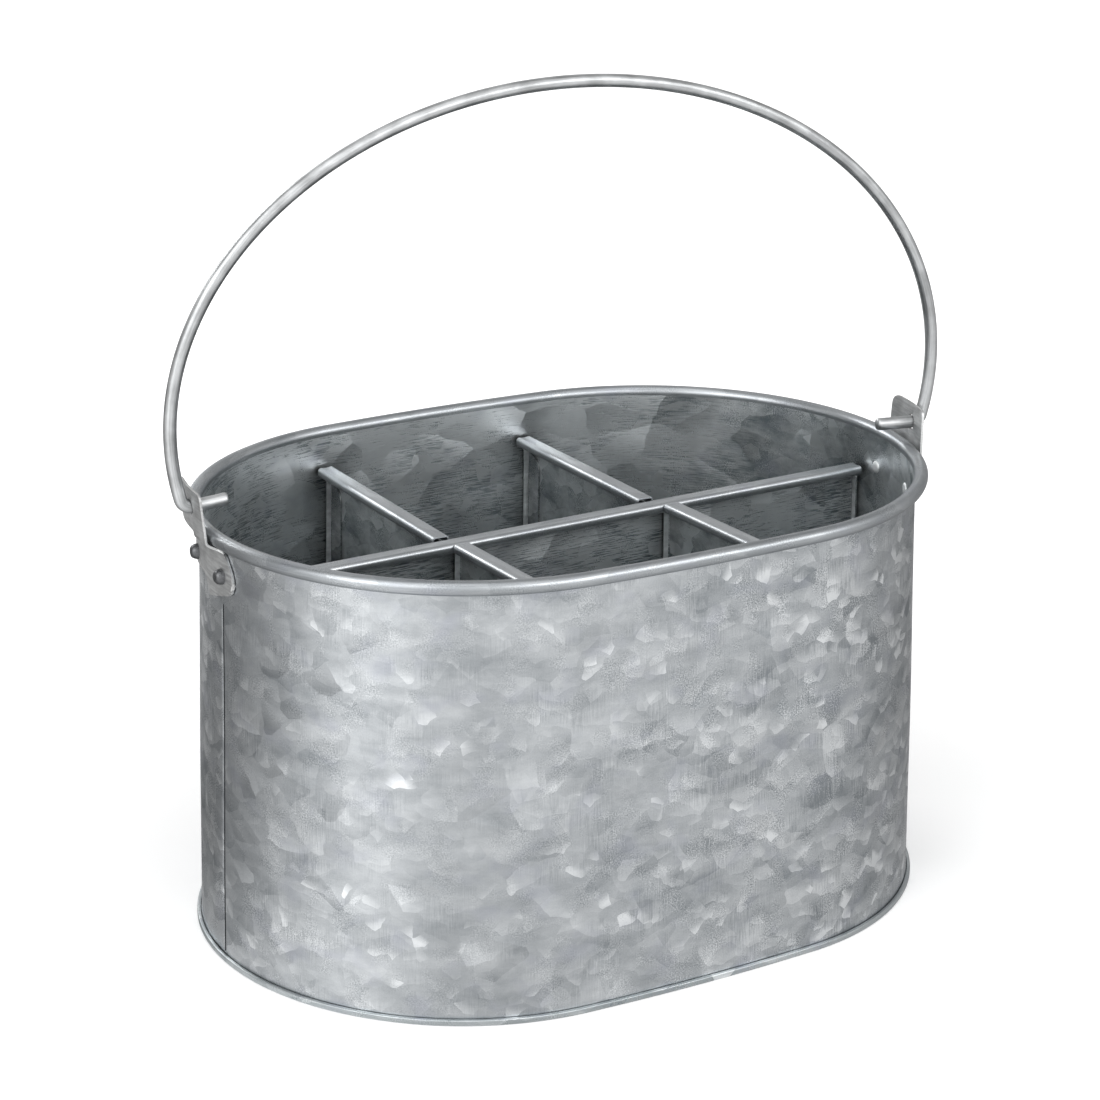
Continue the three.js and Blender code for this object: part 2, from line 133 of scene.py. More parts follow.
# Cross dividers: name, x, side of the long divider, and rise of the hem at the long divider and at the wall
CROSS_DIVIDERS = (
    ("cross_divider_rear_left", -48.0, 1, 1.0, 2.1),
    ("cross_divider_rear_right", 36.2, 1, 1.1, 0.9),
    ("cross_divider_front_left", -43.7, -1, 0.0, 1.5),
    ("cross_divider_front_right", 42.8, -1, 0.0, 2.2),
)

# Ears: name, which end of the oval, and how far off the long axis
EARS = (("left", -1, 13.2), ("right", 1, -21.8))
EAR_SHEET = 0.8
EAR_EDGE = 0.1
EAR_CLEAR = 5.1
EAR_LEAN = 1.4
LEAN_TOP = 168  # height at which an ear has leaned out that far
EAR_TOP = 167
JOG_BOTTOM = 148.2
JOG_TOP = 150.4
JOG_EASE = 0.6
PIN_HOLE = 5.4
# Corners of an ear as place toward the front, height, and length cut off for rounding
EAR_CORNERS = (
    (-1, 135.5, 1.5), (2.8, 129.5, 2), (21.2, 134.8, 3.5), (21.2, 141, 3), (15.8, 147.6, 3),
    (11.8, 149.6, 1.5), (9.3, EAR_TOP, 2.2), (-14.5, EAR_TOP, 4.5), (-14.5, 152.2, 3.5), (1.5, 152.2, 1.2),
    (1.5, 148.4, 1.5), (-16, 148.4, 3), (-21.2, 144, 3), (-21.2, 135.5, 3))
# Lines along which a flat ear is cut so that it can be bent, closest at the jog
EAR_UPRIGHT_CUTS = np.arange(-20, 20.5, 2)
EAR_LEVEL_CUTS = (*np.arange(132, 147, 3), *np.arange(147.2, 152.6, 0.5), 158, 163)

# Rivets
RIVET_SPREAD = 13.6
RIVET_Z = 139.5
RIVET_SHANK = 1.5  # radius
RIVET_ROUND = 0.6  # power that makes the head's dome full
TAIL_PLAY = 0.05
TAIL_FLAT = (0.9, 0.6)  # radius and height of the tail's flat end
TAIL_STEPS = ((1.0, 0.5), (0.6, 0.3), (0.4, 0.0))  # inset from the head's radius, and height over the wall
SET_MARK = (0.6, 0.3)  # radius and depth of the mark on the head

# Bail
PIVOT_Z = 160.3
PIN_TIPS = {"left": (123, 1.1), "right": (121, 0.4)}  # reach of each pin's tip, and how far it climbs there
PIN_BOW = 1.3  # power of that climb
CUT_ROUND = 0.22  # the cut ends are rounded off over this share of the wire
CUT_FACE = 0.55  # share of the wire's radius that stays flat there
ELBOW_RADIUS = 3.5
ARCH_FOOT = math.radians(11.6)

# Zinc flakes: random share from which they shine, and the lift of the first and the last of those
BROAD_SHINE = (0.0, -0.22, 0.3)
SECOND_SHINE = (0.0, -0.2, 0.26)
SECOND_SIZE = 0.7  # beside the broad ones
SECOND_SHIFT = 7.3
CRISP_FROM = 0.74
CRISP_WIDTH = 0.42
CRISP_HEIGHT = 0.5
CRISP_SHIFT = 3.1
CRISP_PATCH = (36, 26)
CRISP_RANGE = (0.3, 1.1)
FLAKE_BEND = 0.4  # how far they are pushed out of shape, beside their height
FLAKE_SLANT = 1.4
FLAKE_FADE = (-0.4, 0.5)  # where a flake starts and ends its fade, from its middle

# Zinc pattern: grit, drawn coarser than it is so that it shows, soft patches, tint and relief
GRIT = 0.5
GRIT_PATCH = (12, 14)
PATCH_EDGE = (-0.02, 0.16)  # noise at which a patch starts and is full
NOISE_ROUGH = 0.65
TINT_PATCH = (16, 12)
TINT_EDGE = (0.04, 0.3)
TINT_MOST = 0.32
ZINC_RELIEF = 0.2
SATIN_RELIEF = 0.1
STAIN = 9
# Where the pattern is calmest along the sheet from the seam, and how far from there it is full
CALM_PLACE = 95
CALM_REACH = 185
# Painted light inside: how squarely a face looks along the width, and the heights between which it is painted
# lighter
PAINTED_LIGHT_FACING = (0.5, 0.92)
PAINTED_LIGHT_HEIGHTS = (100, 152)
# Painted shade in corners and under hems: its reach, the open share at which it is darkest, and the tone left
# there
OCCLUSION_SHADE_REACH = 12
OCCLUSION_SHADE_CLOSE = 0.45
OCCLUSION_SHADE_TONE = 0.3

# Studio: brightness by heading in degrees, 0 in front and positive to the right, and by the sine of elevation
ROOM = ((-180, 0.54), (-155, 0.38), (-130, 0.22), (-100, 0.7), (-70, 1.6), (-40, 1.02), (10, 1.02), (50, 0.7),
        (95, 0.34), (130, 0.36), (155, 0.5), (180, 0.54))
BAND = ((0.0, 1.0), (0.38, 1.3), (0.5, 1.3), (0.72, 1.05), (1.0, 1.35))
ROOM_PEAK = 1.6
# Soft lamps: name, heading and elevation in degrees, distance, width and height in metres, power in watts
SOFTBOXES = (
    ("front_softbox", 20, 30, 1.9, 1.8, 0.7, 9),
    ("left_softbox", -70, 30, 1.8, 1.0, 1.0, 6),
    ("back_softbox", -165, 27, 1.8, 0.9, 0.4, 6),
)
LAMP_AIM = 100
# Table: half its side, its drop under the pan, and by distance from the middle in half widths of the body:
# reach and least tone of the painted shadow round the body that the metal sees, reach, least and most of its
# lift to white
TABLE_HALF = 4000
TABLE_DROP = 0.1
TABLE_REFLECTED_SHADOW = (4.0, 0.7)
TABLE_LIFT = (5.0, 0.16, 0.42)
# Camera: heading, elevation and roll in degrees, distance, and aim to the right and up from a height
CAMERA_TURN = (-30.8688, 18.9799, 0.497)
CAMERA_DISTANCE = 1107
CAMERA_AIM = (-4.5304, 62.8001)
CAMERA_AIM_HEIGHT = 60
CAMERA_LENS = 101.03
CAMERA_SENSOR = 36


def linear(code):
    """Linear colour of an sRGB hex value."""
    parts = [int(code[i:i + 2], 16) / 255 for i in (1, 3, 5)]
    return tuple(c / 12.92 if c <= 0.04045 else ((c + 0.055) / 1.055) ** 2.4 for c in parts)


def length(name, millimetres, description):
    """A length property, given in millimetres and kept in metres."""
    return bpy.props.FloatProperty(
        name=name, description=description, default=millimetres * MM, min=0.0, precision=5, unit="LENGTH")


def colour(name, code, description):
    """A colour property from an sRGB hex value."""
    return bpy.props.FloatVectorProperty(
        name=name, description=description, default=linear(code), size=3, min=0.0, max=1.0, subtype="COLOR")


class CaddyBodySizes(bpy.types.PropertyGroup):
    half_length: length("Half length", 130, "Half the oval's length outside the wall at the rim")
    half_width: length("Half width", 92, "Half the oval's width outside the wall at the rim")
    side_radius: length("Side radius", 750, "Radius of the two gently bowed sides")
    rim_top: length("Rim height", 154.7, "Top of the rolled rim above the table")
    flare: length("Flare", 3.3, "How far the wall leans out at its foot")
    sheet: length("Sheet", 0.6, "Thickness of the wall and divider sheet")
    roll: length("Roll radius", 2.5, "Outer radius of the rolled rim")
    lip: length("Lip height", 2.1, "Height of the folded lip round the base")
    hem_top: length("Hem height", 138, "Top of the dividers' hems above the table")
    hem_width: length("Hem width", 6.6, "Width of the dividers' hems")
    hem_height: length("Hem depth", 3.6, "Depth of the dividers' hems")


class CaddyBailSizes(bpy.types.PropertyGroup):
    wire: length("Wire", 4.5, "Diameter of the handle's wire")
    arch_half: length("Half span", 142, "Half the width of the handle's arch")
    arch_rise: length("Rise", 108.2, "Height of the arch above its widest level")
    rivet_head: length("Rivet head", 5.4, "Diameter of the ears' rivet heads")
    rivet_dome: length("Rivet dome", 2.8, "Height of the ears' rivet heads")


class CaddyFinishes(bpy.types.PropertyGroup):
    zinc_light: colour("Light flakes", "#f3f6f8", "Brightest zinc flakes on the sheet")
    zinc_dark: colour("Dark flakes", "#8d9296", "Darkest zinc flakes on the sheet")
    inside_light: colour("Light inside", "#f6fafb", "Brightest zinc inside")
    inside_dark: colour("Dark inside", "#7f888c", "Darkest zinc inside")
    zinc_tint: colour("Flake tint", "#a7aab8", "Faint cool tint of single flakes")
    ear: colour("Ears", "#cfd0d0", "Matt zinc of the ears")
    rivet: colour("Rivets", "#6c6d6f", "Dull zinc of the rivets")
    # Painted highlight: the flanges and rivet tails are coloured lighter for the light their bends catch
    flange: colour("Flanges", "#eef1f2", "Rubbed zinc of the bent flanges")
    wire: colour("Wire", "#cacccd", "Drawn zinc-plated wire")
    seam: colour("Seam", "#34373a", "Shadow and grime in the open seam")
    floor: colour("Floor", "#f4f4f4", "Table and backdrop")


def mm(value):
    """A length property in millimetres."""
    return value / MM


class Oval:
    """Plan of the wall: two end arcs and two flatter sides, measured along the edge from the lap seam."""

    def __init__(self, sizes):
        half, width, side = mm(sizes.half_length), mm(sizes.half_width), mm(sizes.side_radius)
        self.half, self.width = half, width
        self.flare, self.rim_top, self.sheet = mm(sizes.flare), mm(sizes.rim_top), mm(sizes.sheet)
        self.end_radius = (2 * side * width - half ** 2 - width ** 2) / (2 * (side - half))
        self.end_centre = half - self.end_radius
        self.side_radius = side
        self.side_centre = side - width
        turn = math.atan2(self.side_centre, self.end_centre)
        self.side_half = side * math.cos(turn)
        start = math.pi - math.asin(SEAM_Y / self.end_radius)
        self.headings = np.array([
            start, math.pi + turn, 2 * math.pi - turn, 2 * math.pi + turn, 3 * math.pi - turn,
            start + 2 * math.pi])
        self.radii = np.array([self.end_radius, side, self.end_radius, side, self.end_radius])
        self.centres = np.array([
            (-self.end_centre, 0), (0, self.side_centre), (self.end_centre, 0), (0, -self.side_centre),
            (-self.end_centre, 0)])
        self.lengths = np.concatenate([[0], np.cumsum(self.radii * np.diff(self.headings))])
        self.girth = self.lengths[-1]

    def point(self, along, offset):
        """Plan point at a length along the edge, moved out by an offset."""
        heading = np.interp(along, self.lengths, self.headings)
        part = np.searchsorted(self.headings[1:-1], heading, side="right")
        reach = self.radii[part] + offset
        centre = self.centres[part]
        return centre[..., 0] + reach * np.cos(heading), centre[..., 1] + reach * np.sin(heading)

    def along(self, x, y):
        """Length along the edge of the place that faces a plan point."""
        if abs(x) < self.side_half:
            heading = math.atan2(y + math.copysign(self.side_centre, y), x)
        else:
            heading = math.atan2(y, x - math.copysign(self.end_centre, x))
        while heading < self.headings[0]:
            heading += 2 * math.pi
        return float(np.interp(heading, self.headings, self.lengths))

    def inner(self, x):
        """Distance of the wall's inner face from the long axis."""
        x = abs(x)
        if x < self.side_half:
            return math.sqrt((self.side_radius - self.sheet) ** 2 - x ** 2) - self.side_centre
        return math.sqrt((self.end_radius - self.sheet) ** 2 - (x - self.end_centre) ** 2)

    def splayed(self, points):
        """The body's lean: everything spreads toward the foot with the wall."""
        points = np.array(points, float)
        share = self.flare * (1 - points[..., 2] / self.rim_top)
        points[..., 0] *= 1 + share / self.half
        points[..., 1] *= 1 + share / self.width
        return points

    def shell(self, along, offset, z):
        """Rows of points round the oval, leaning with the body."""
        along, offset, z = np.broadcast_arrays(along, offset, z)
        return self.splayed(np.stack([*self.point(along, offset), z], axis=2))


class Sheetwork:
    """Gathers one piece in millimetres: points, faces, a UV place for each corner of a face, and finishes."""

    def __init__(self):
        self.points = []
        self.faces = []
        self.places = []
        self.finishes = []

    def grid(self, points, across, up, close_rows=False, close_columns=False, finish=lambda row, column: 0):
        """Quads over rows of points; across and up are UV places of columns and rows, closing ones too."""
        points = np.asarray(points, float)
        rows, columns = points.shape[:2]
        first = len(self.points)
        self.points.extend(points.reshape(-1, 3).tolist())
        across = np.broadcast_to(across, (rows + close_rows, columns + close_columns))
        up = np.broadcast_to(up, (rows + close_rows, columns + close_columns))
        for row in range(rows if close_rows else rows - 1):
            above = (row + 1) % rows
            for column in range(columns if close_columns else columns - 1):
                beside = (column + 1) % columns
                self.faces.append((
                    first + row * columns + column, first + row * columns + beside,
                    first + above * columns + beside, first + above * columns + column))
                for r, c in ((row, column), (row, column + 1), (row + 1, column + 1), (row + 1, column)):
                    self.places.append((across[r, c], up[r, c]))
                self.finishes.append(finish(row, column))
        return first

    def cap(self, indices, axes=(0, 1), finish=0):
        """One flat face over existing points, its UV place read from two of the axes."""
        indices = tuple(indices)
        self.faces.append(indices)
        self.places.extend((self.points[i][axes[0]], self.points[i][axes[1]]) for i in indices)
        self.finishes.append(finish)

    def cap_ends(self, first, rows, columns, finish):
        """Flat faces over the first and the last column of a grid whose rows are closed."""
        last = first + columns - 1
        self.cap([first + row * columns for row in range(rows)], (1, 2), finish)
        self.cap([last + row * columns for row in reversed(range(rows))], (1, 2), finish)

    def mesh(self, name, materials, sharp=35):
        mesh = bpy.data.meshes.new(name)
        mesh.from_pydata((np.array(self.points) * MM).tolist(), [], self.faces)
        layer = mesh.uv_layers.new(name="UVMap")
        layer.data.foreach_set("uv", (np.array(self.places, np.float32) / UV_UNIT).ravel())
        for material in materials:
            mesh.materials.append(material)
        mesh.polygons.foreach_set("material_index", self.finishes)
        work = bmesh.new()
        work.from_mesh(mesh)
        bmesh.ops.recalc_face_normals(work, faces=work.faces)
        work.to_mesh(mesh)
        work.free()
        mesh.shade_smooth()
        mesh.set_sharp_from_angle(angle=math.radians(sharp))
        mesh.update()
        return mesh


def place_piece(name, data):
    piece = bpy.data.objects.new(name, data)
    bpy.context.scene.collection.objects.link(piece)
    return piece


def bake_modifiers(piece):
    """Turn what a piece's modifiers make into its plain mesh."""
    depsgraph = bpy.context.evaluated_depsgraph_get()
    made = bpy.data.meshes.new_from_object(piece.evaluated_get(depsgraph), depsgraph=depsgraph)
    made.name = piece.name
    if piece.type == "MESH":
        piece.modifiers.clear()
        piece.data = made
        return piece
    name = piece.name
    bpy.data.objects.remove(piece)
    return place_piece(name, made)


def settle(piece, body, slot, *nodes):
    """Fix a finished piece to its body, in place of the plain solids it stands for."""
    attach(piece, body)
    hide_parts(*nodes)


def arc(centre, radius, start, end, steps):
    """Points of an arc in a section, angles in degrees."""
    angles = np.radians(np.linspace(start, end, steps + 1))
    return np.stack([centre[0] + radius * np.cos(angles), centre[1] + radius * np.sin(angles)], axis=1)


def run_length(points):
    """Length along a line of points, at each of them."""
    return np.concatenate([[0], np.cumsum(np.hypot(*np.diff(points, axis=0).T))])


def eased(share):
    """A share from 0 to 1 with a soft start and end."""
    share = min(max(share, 0), 1)
    return share * share * (3 - 2 * share)


def add_node(tree, kind, inputs=None, **settings):
    """Add one node; an input is a value, an output socket, or a node for its first live output."""
    node = tree.nodes.new(kind)
    for key, value in settings.items():
        setattr(node, key, value)
    for key, value in (inputs or {}).items():
        if isinstance(value, bpy.types.Node):
            value = next(socket for socket in value.outputs if socket.enabled)
        if isinstance(value, bpy.types.NodeSocket):
            tree.links.new(value, node.inputs[key])
        else:
            node.inputs[key].default_value = value
    return node


def rgba(rgb):
    return (*rgb, 1.0)


def new_finish(name):
    """An empty material, and the function that adds a node to it."""
    material = bpy.data.materials.new(name)
    material.use_nodes = True
    material.node_tree.nodes.clear()
    return material, functools.partial(add_node, material.node_tree)


def flake_layer(add, place, width, height, shift, shine):
    """One layer of zinc flakes of a size in millimetres: how far each spot is lifted in tone, and its lean.

    A flake fades in from one side, mostly from above, and stops at a crisp edge on the other."""
    fitted = add("ShaderNodeMapping", {
        "Vector": place, "Location": (shift, 0.7 * shift, 0.0),
        "Scale": (UV_UNIT / width, UV_UNIT / height, 1.0)})
    cells = add("ShaderNodeTexVoronoi", {"Vector": fitted, "Scale": 1.0}, voronoi_dimensions="2D").outputs
    chance = add("ShaderNodeSeparateColor", {"Color": cells["Color"]}).outputs
    away = add("ShaderNodeVectorMath", {0: cells["Position"], 1: fitted}, operation="SUBTRACT")
    slant = add("ShaderNodeMapRange", {
        "Value": chance["Blue"], "To Min": -FLAKE_SLANT, "To Max": FLAKE_SLANT})
    down = add("ShaderNodeCombineXYZ", {"X": slant, "Y": 1.0})
    drop = add("ShaderNodeVectorMath", {0: away, 1: down}, operation="DOT_PRODUCT")
    fade = add("ShaderNodeMapRange", {"Value": drop, "From Min": FLAKE_FADE[0], "From Max": FLAKE_FADE[1]})
    bright = add("ShaderNodeMapRange", {
        "Value": chance["Red"], "From Min": shine[0], "To Min": shine[1], "To Max": shine[2]})
    lift = add("ShaderNodeMath", {0: bright, 1: fade}, operation="MULTIPLY")
    centred = add("ShaderNodeVectorMath", {0: cells["Color"], 1: (0.5, 0.5, 0.5)}, operation="SUBTRACT")
    lean = add("ShaderNodeVectorMath", {0: centred, "Scale": fade}, operation="SCALE")
    return lift, lean


def fine_noise(add, place, across, up, detail=2.0):
    """Centred noise, its grain given in millimetres across and up the sheet."""
    fitted = add("ShaderNodeMapping", {
        "Vector": place, "Scale": (UV_UNIT / across, UV_UNIT / up, 1.0)})
    noise = add("ShaderNodeTexNoise", {
        "Vector": fitted, "Scale": 1.0, "Detail": detail, "Roughness": NOISE_ROUGH}, noise_dimensions="2D")
    return add("ShaderNodeMath", {0: noise, 1: 0.5}, operation="SUBTRACT")


def in_patches(add, texture, place, size, least, most):
    """A texture that comes and goes in soft patches of a size in millimetres, between two strengths."""
    strength = add("ShaderNodeMapRange", {
        "Value": fine_noise(add, place, *size), "From Min": PATCH_EDGE[0], "From Max": PATCH_EDGE[1],
        "To Min": least, "To Max": most})
    return add("ShaderNodeMath", {0: texture, 1: strength}, operation="MULTIPLY")


def bent_place(add, place, height):
    """The place on the sheet, pushed about so that flakes of a height have crooked edges."""
    noise = add("ShaderNodeTexNoise", {
        "Vector": place, "Scale": UV_UNIT / height, "Detail": 2.0}, noise_dimensions="2D")
    push = add("ShaderNodeVectorMath", {0: noise.outputs["Color"], 1: (0.5, 0.5, 0.5)}, operation="SUBTRACT")
    reach = FLAKE_BEND * height / UV_UNIT
    return add("ShaderNodeVectorMath", {0: push, 1: (reach,) * 3, 2: place}, operation="MULTIPLY_ADD")


def pattern_strength(add, place, contrast, calm):
    """Strength of the zinc pattern along the sheet: a calm share of it a hand's breadth from the seam."""
    along = add("ShaderNodeSeparateXYZ", {0: place}).outputs["X"]
    past = add("ShaderNodeMath", {0: along, 1: CALM_PLACE / UV_UNIT}, operation="SUBTRACT")
    apart = add("ShaderNodeMath", {0: past}, operation="ABSOLUTE")
    return add("ShaderNodeMapRange", {
        "Value": apart, "From Max": CALM_REACH / UV_UNIT, "To Min": contrast * calm, "To Max": contrast})


def facing_share(add):
    """How far a face looks along the width; it gates the inside hairlines and the painted light toward the
    rim.
    """
    normal = add("ShaderNodeNewGeometry").outputs["True Normal"]
    across = add("ShaderNodeSeparateXYZ", {0: normal}).outputs["Y"]
    squarely = add("ShaderNodeMath", {0: across}, operation="ABSOLUTE")
    return add("ShaderNodeMapRange", {
        "Value": squarely, "From Min": PAINTED_LIGHT_FACING[0], "From Max": PAINTED_LIGHT_FACING[1]})


def painted_rim_light_tone(add, middle, painted_rim_light, share):
    """Tone of the inside sheet under its pattern, painted lighter toward the rim as painted light."""
    spot = add("ShaderNodeTexCoord").outputs["Object"]
    height = add("ShaderNodeSeparateXYZ", {0: spot}).outputs["Z"]
    low, high = PAINTED_LIGHT_HEIGHTS
    rim_light = add("ShaderNodeMapRange", {
        "Value": height, "From Min": low * MM, "From Max": high * MM, "To Max": painted_rim_light})
    return add("ShaderNodeMath", {0: rim_light, 1: share, 2: middle}, operation="MULTIPLY_ADD")


def with_painted_occlusion_shade(add, shade):
    """A colour darkened by painted shade in corners and close under the hems, where little light reaches."""
    open_share = add("ShaderNodeAmbientOcclusion", {"Distance": OCCLUSION_SHADE_REACH * MM}, samples=6).outputs["AO"]
    unshaded = add("ShaderNodeMapRange", {"Value": open_share, "From Min": OCCLUSION_SHADE_CLOSE, "To Min": OCCLUSION_SHADE_TONE})
    return add("ShaderNodeVectorMath", {0: shade, "Scale": unshaded}, operation="SCALE")


def metal_surface(add, shade, rough, normal):
    """Close a finish with bare metal."""
    surface = add("ShaderNodeBsdfPrincipled", {
        "Base Color": shade, "Metallic": 1.0, "Roughness": rough, "Normal": normal})
    add("ShaderNodeOutputMaterial", {"Surface": surface})


def spangled_zinc(name, colours, flake=(12, 9), middle=0.33, contrast=1.0, tilt=0.12, rough=(0.3, 0.44),
                  hairline=(0.42, 9), hair=(0.12, 1.0), grain=(0.3, 1.8), patch=(19, 16), cloud=(28, 13, 0.7),
                  glint=1.25, calm=1.0, painted_rim_light=0.0):
    """Hot-dip galvanised sheet: clouds, broad soft flakes, small crisp bright ones with painted glints,
    hairlines and sparkle.

    Sizes are millimetres across and up the sheet; each flake has its own tone, gloss and lean.
    colours: lightest and darkest zinc, and the tint of single flakes
    flake, hairline, patch: size of the broad flakes, of the hairlines and of the patches that these come in
    middle, contrast: tone of the sheet without its pattern, and the pattern's strength
    tilt, rough: how far flakes lean, and the roughness of the lightest and the darkest
    hair, grain: least and most strength of the hairlines and the sparkle
    cloud: size and strength of the clouds
    glint: lift of the brightest small flakes, a painted glint
    calm: share of the pattern that is left where it is calmest
    painted_rim_light: how much lighter the sheet is painted near the rim, as painted light; a sheet with it
    has hairlines only on faces that look along the width, and painted shade in its corners"""
    light, dark, tint = colours
    width, height = flake
    material, add = new_finish(name)
    place = add("ShaderNodeUVMap", uv_map="UVMap")
    bent = bent_place(add, place, height)
    broad, lean = flake_layer(add, bent, width, height, 0.0, BROAD_SHINE)
    second, _ = flake_layer(
        add, bent, SECOND_SIZE * width, SECOND_SIZE * height, SECOND_SHIFT, SECOND_SHINE)
    # Painted glints: the small crisp flakes are lifted in colour where light would glint off them
    crisp, _ = flake_layer(
        add, bent, CRISP_WIDTH * width, CRISP_HEIGHT * height, CRISP_SHIFT, (CRISP_FROM, 0.0, glint))
    crisp = in_patches(add, crisp, place, CRISP_PATCH, *CRISP_RANGE)
    lines = in_patches(add, fine_noise(add, place, *hairline), place, patch, *hair)
    grit = in_patches(add, fine_noise(add, place, GRIT, GRIT, 1.0), place, GRIT_PATCH, *grain)
    under = middle
    # Painted light: faces that look along the width are painted lighter toward the rim
    if painted_rim_light:
        share = facing_share(add)
        lines = add("ShaderNodeMath", {0: lines, 1: share}, operation="MULTIPLY")
        under = painted_rim_light_tone(add, middle, painted_rim_light, share)
    pattern = broad
    for layer in (second, crisp, lines, grit):
        pattern = add("ShaderNodeMath", {0: pattern, 1: layer}, operation="ADD")
    haze = fine_noise(add, place, cloud[0], cloud[1], 4.0)
    level = add("ShaderNodeMath", {0: haze, 1: cloud[2], 2: under}, operation="MULTIPLY_ADD")
    strength = pattern_strength(add, place, contrast, calm)
    tone = add("ShaderNodeMath", {0: pattern, 1: strength, 2: level}, operation="MULTIPLY_ADD")
    # Inputs 6 and 7 of a mix are its two colours, and 0 is the share of the second
    shade = add("ShaderNodeMix", {6: rgba(dark), 7: rgba(light), 0: tone}, data_type="RGBA")
    cool = add("ShaderNodeMapRange", {
        "Value": fine_noise(add, bent, *TINT_PATCH), "From Min": TINT_EDGE[0], "From Max": TINT_EDGE[1],
        "To Max": TINT_MOST})
    shade = add("ShaderNodeMix", {6: shade, 7: rgba(tint), 0: cool}, data_type="RGBA")
    # Painted shade: occlusion darkens the colour in corners and under the hems
    if painted_rim_light:
        shade = with_painted_occlusion_shade(add, shade)
    gloss = add("ShaderNodeMapRange", {"Value": tone, "To Min": rough[1], "To Max": rough[0]})
    normal = add("ShaderNodeNewGeometry").outputs["Normal"]
    leaned = add("ShaderNodeVectorMath", {0: lean, 1: (tilt,) * 3, 2: normal}, operation="MULTIPLY_ADD")
    unit = add("ShaderNodeVectorMath", {0: leaned}, operation="NORMALIZE")
    relief = add("ShaderNodeBump", {
        "Height": tone, "Normal": unit, "Strength": 0.1, "Distance": ZINC_RELIEF * MM})
    metal_surface(add, shade, gloss, relief)
    return material


def satin_zinc(name, shade, streak, rough, depth, place_name=None):
    """Plain zinc coat, dull and even, with drawn streaks and soft stains that break up its shine.

    The streak is its size along three axes: the object's, or those of an attribute that holds the place.
    The depth is how much darker the darkest streaks are."""
    material, add = new_finish(name)
    if place_name:
        spot = add("ShaderNodeAttribute", attribute_name=place_name).outputs["Vector"]
    else:
        spot = add("ShaderNodeTexCoord").outputs["Object"]
    stretch = add("ShaderNodeMapping", {"Vector": spot, "Scale": tuple(1 / (size * MM) for size in streak)})
    lines = add("ShaderNodeTexNoise", {
        "Vector": stretch, "Scale": 1.0, "Detail": 4.0, "Roughness": NOISE_ROUGH})
    stains = add("ShaderNodeTexNoise", {"Vector": spot, "Scale": 1 / (STAIN * MM), "Detail": 3.0})
    both = add("ShaderNodeMath", {0: lines, 1: stains}, operation="ADD")
    level = add("ShaderNodeMapRange", {
        "Value": both, "From Min": 0.75, "From Max": 1.25,
        "To Min": 1.0 - depth, "To Max": 1.0 + depth * 0.5})
    tinted = add("ShaderNodeVectorMath", {0: shade, 1: level}, operation="MULTIPLY")
    gloss = add("ShaderNodeMapRange", {
        "Value": lines, "From Min": 0.3, "From Max": 0.7, "To Min": rough[0], "To Max": rough[1]})
    relief = add("ShaderNodeBump", {"Height": both, "Strength": 0.2, "Distance": SATIN_RELIEF * MM})
    metal_surface(add, tinted, gloss, relief)
    return material


def zinc_colours(context, face):
    """Lightest and darkest zinc of a face, and the tint of single flakes."""
    finishes = context.scene.caddy_finishes
    return [tuple(getattr(finishes, key)) for key in (f"{face}_light", f"{face}_dark", "zinc_tint")]


def outside_zinc(context):
    """Outer face of the wall: bright flakes with upright hairlines."""
    return spangled_zinc(
        "galvanised_sheet_outside", zinc_colours(context, "zinc"), contrast=1.25, tilt=0.22, calm=0.25)


def rim_zinc(context):
    """Rolled rim: the flakes are drawn out along the roll and the surface is smoother."""
    return spangled_zinc(
        "galvanised_rolled_rim", zinc_colours(context, "zinc"), flake=(26, 7), middle=0.23, contrast=0.4,
        tilt=0.03, rough=(0.28, 0.38), hairline=(18, 0.5), cloud=(40, 4, 0.3), glint=0.3)


def inside_zinc(context):
    """Inner face of the wall and the dividers: duller and clouded, with level hairlines that sparkle, painted
    lighter toward the rim and painted darker in corners and under the hems.
    """
    return spangled_zinc(
        "galvanised_sheet_inside", zinc_colours(context, "inside"), flake=(17, 12), middle=0.48, contrast=1.6,
        tilt=0.2, rough=(0.36, 0.5), hairline=(8, 0.42), hair=(1.9, 3.8), grain=(0.2, 1.4), patch=(45, 26),
        cloud=(30, 19, 2.4), glint=2.2, painted_rim_light=0.66)


def lip_zinc(context):
    """Folded lip of the base: duller than the wall, with streaks along it."""
    return spangled_zinc(
        "galvanised_base_lip", zinc_colours(context, "inside"), flake=(20, 7), contrast=0.5, tilt=0.06,
        hairline=(16, 0.5), cloud=(40, 4, 0.4))


def floor_zinc(context):
    """Floor of the base: pale and dull, with small flakes."""
    return spangled_zinc(
        "galvanised_base_floor", zinc_colours(context, "inside"), flake=(14, 10), middle=0.75,
        rough=(0.42, 0.56))


def hem_zinc(context):
    """Folded hems: smooth bright bends with streaks along them."""
    return spangled_zinc(
        "galvanised_folded_hem", zinc_colours(context, "zinc"), flake=(30, 8), contrast=0.4, tilt=0.03,
        rough=(0.28, 0.4), hairline=(16, 0.5), cloud=(40, 3, 0.4), glint=0.3)


def flange_highlight_zinc(context):
    """Bent flanges of the dividers and the rivets' tails: painted lighter than the sheet behind them, a
    painted highlight for the light they catch.
    """
    shade = tuple(context.scene.caddy_finishes.flange)
    return satin_zinc("zinc_bent_flange", shade, (5, 5, 1.6), (0.52, 0.64), 0.25)


def ear_zinc(context):
    """Ears: cut from plain zinc-coated strip, dull grey with faint rolling lines."""
    shade = tuple(context.scene.caddy_finishes.ear)
    return satin_zinc("zinc_coated_strip", shade, (7, 7, 0.7), (0.46, 0.58), 0.3)


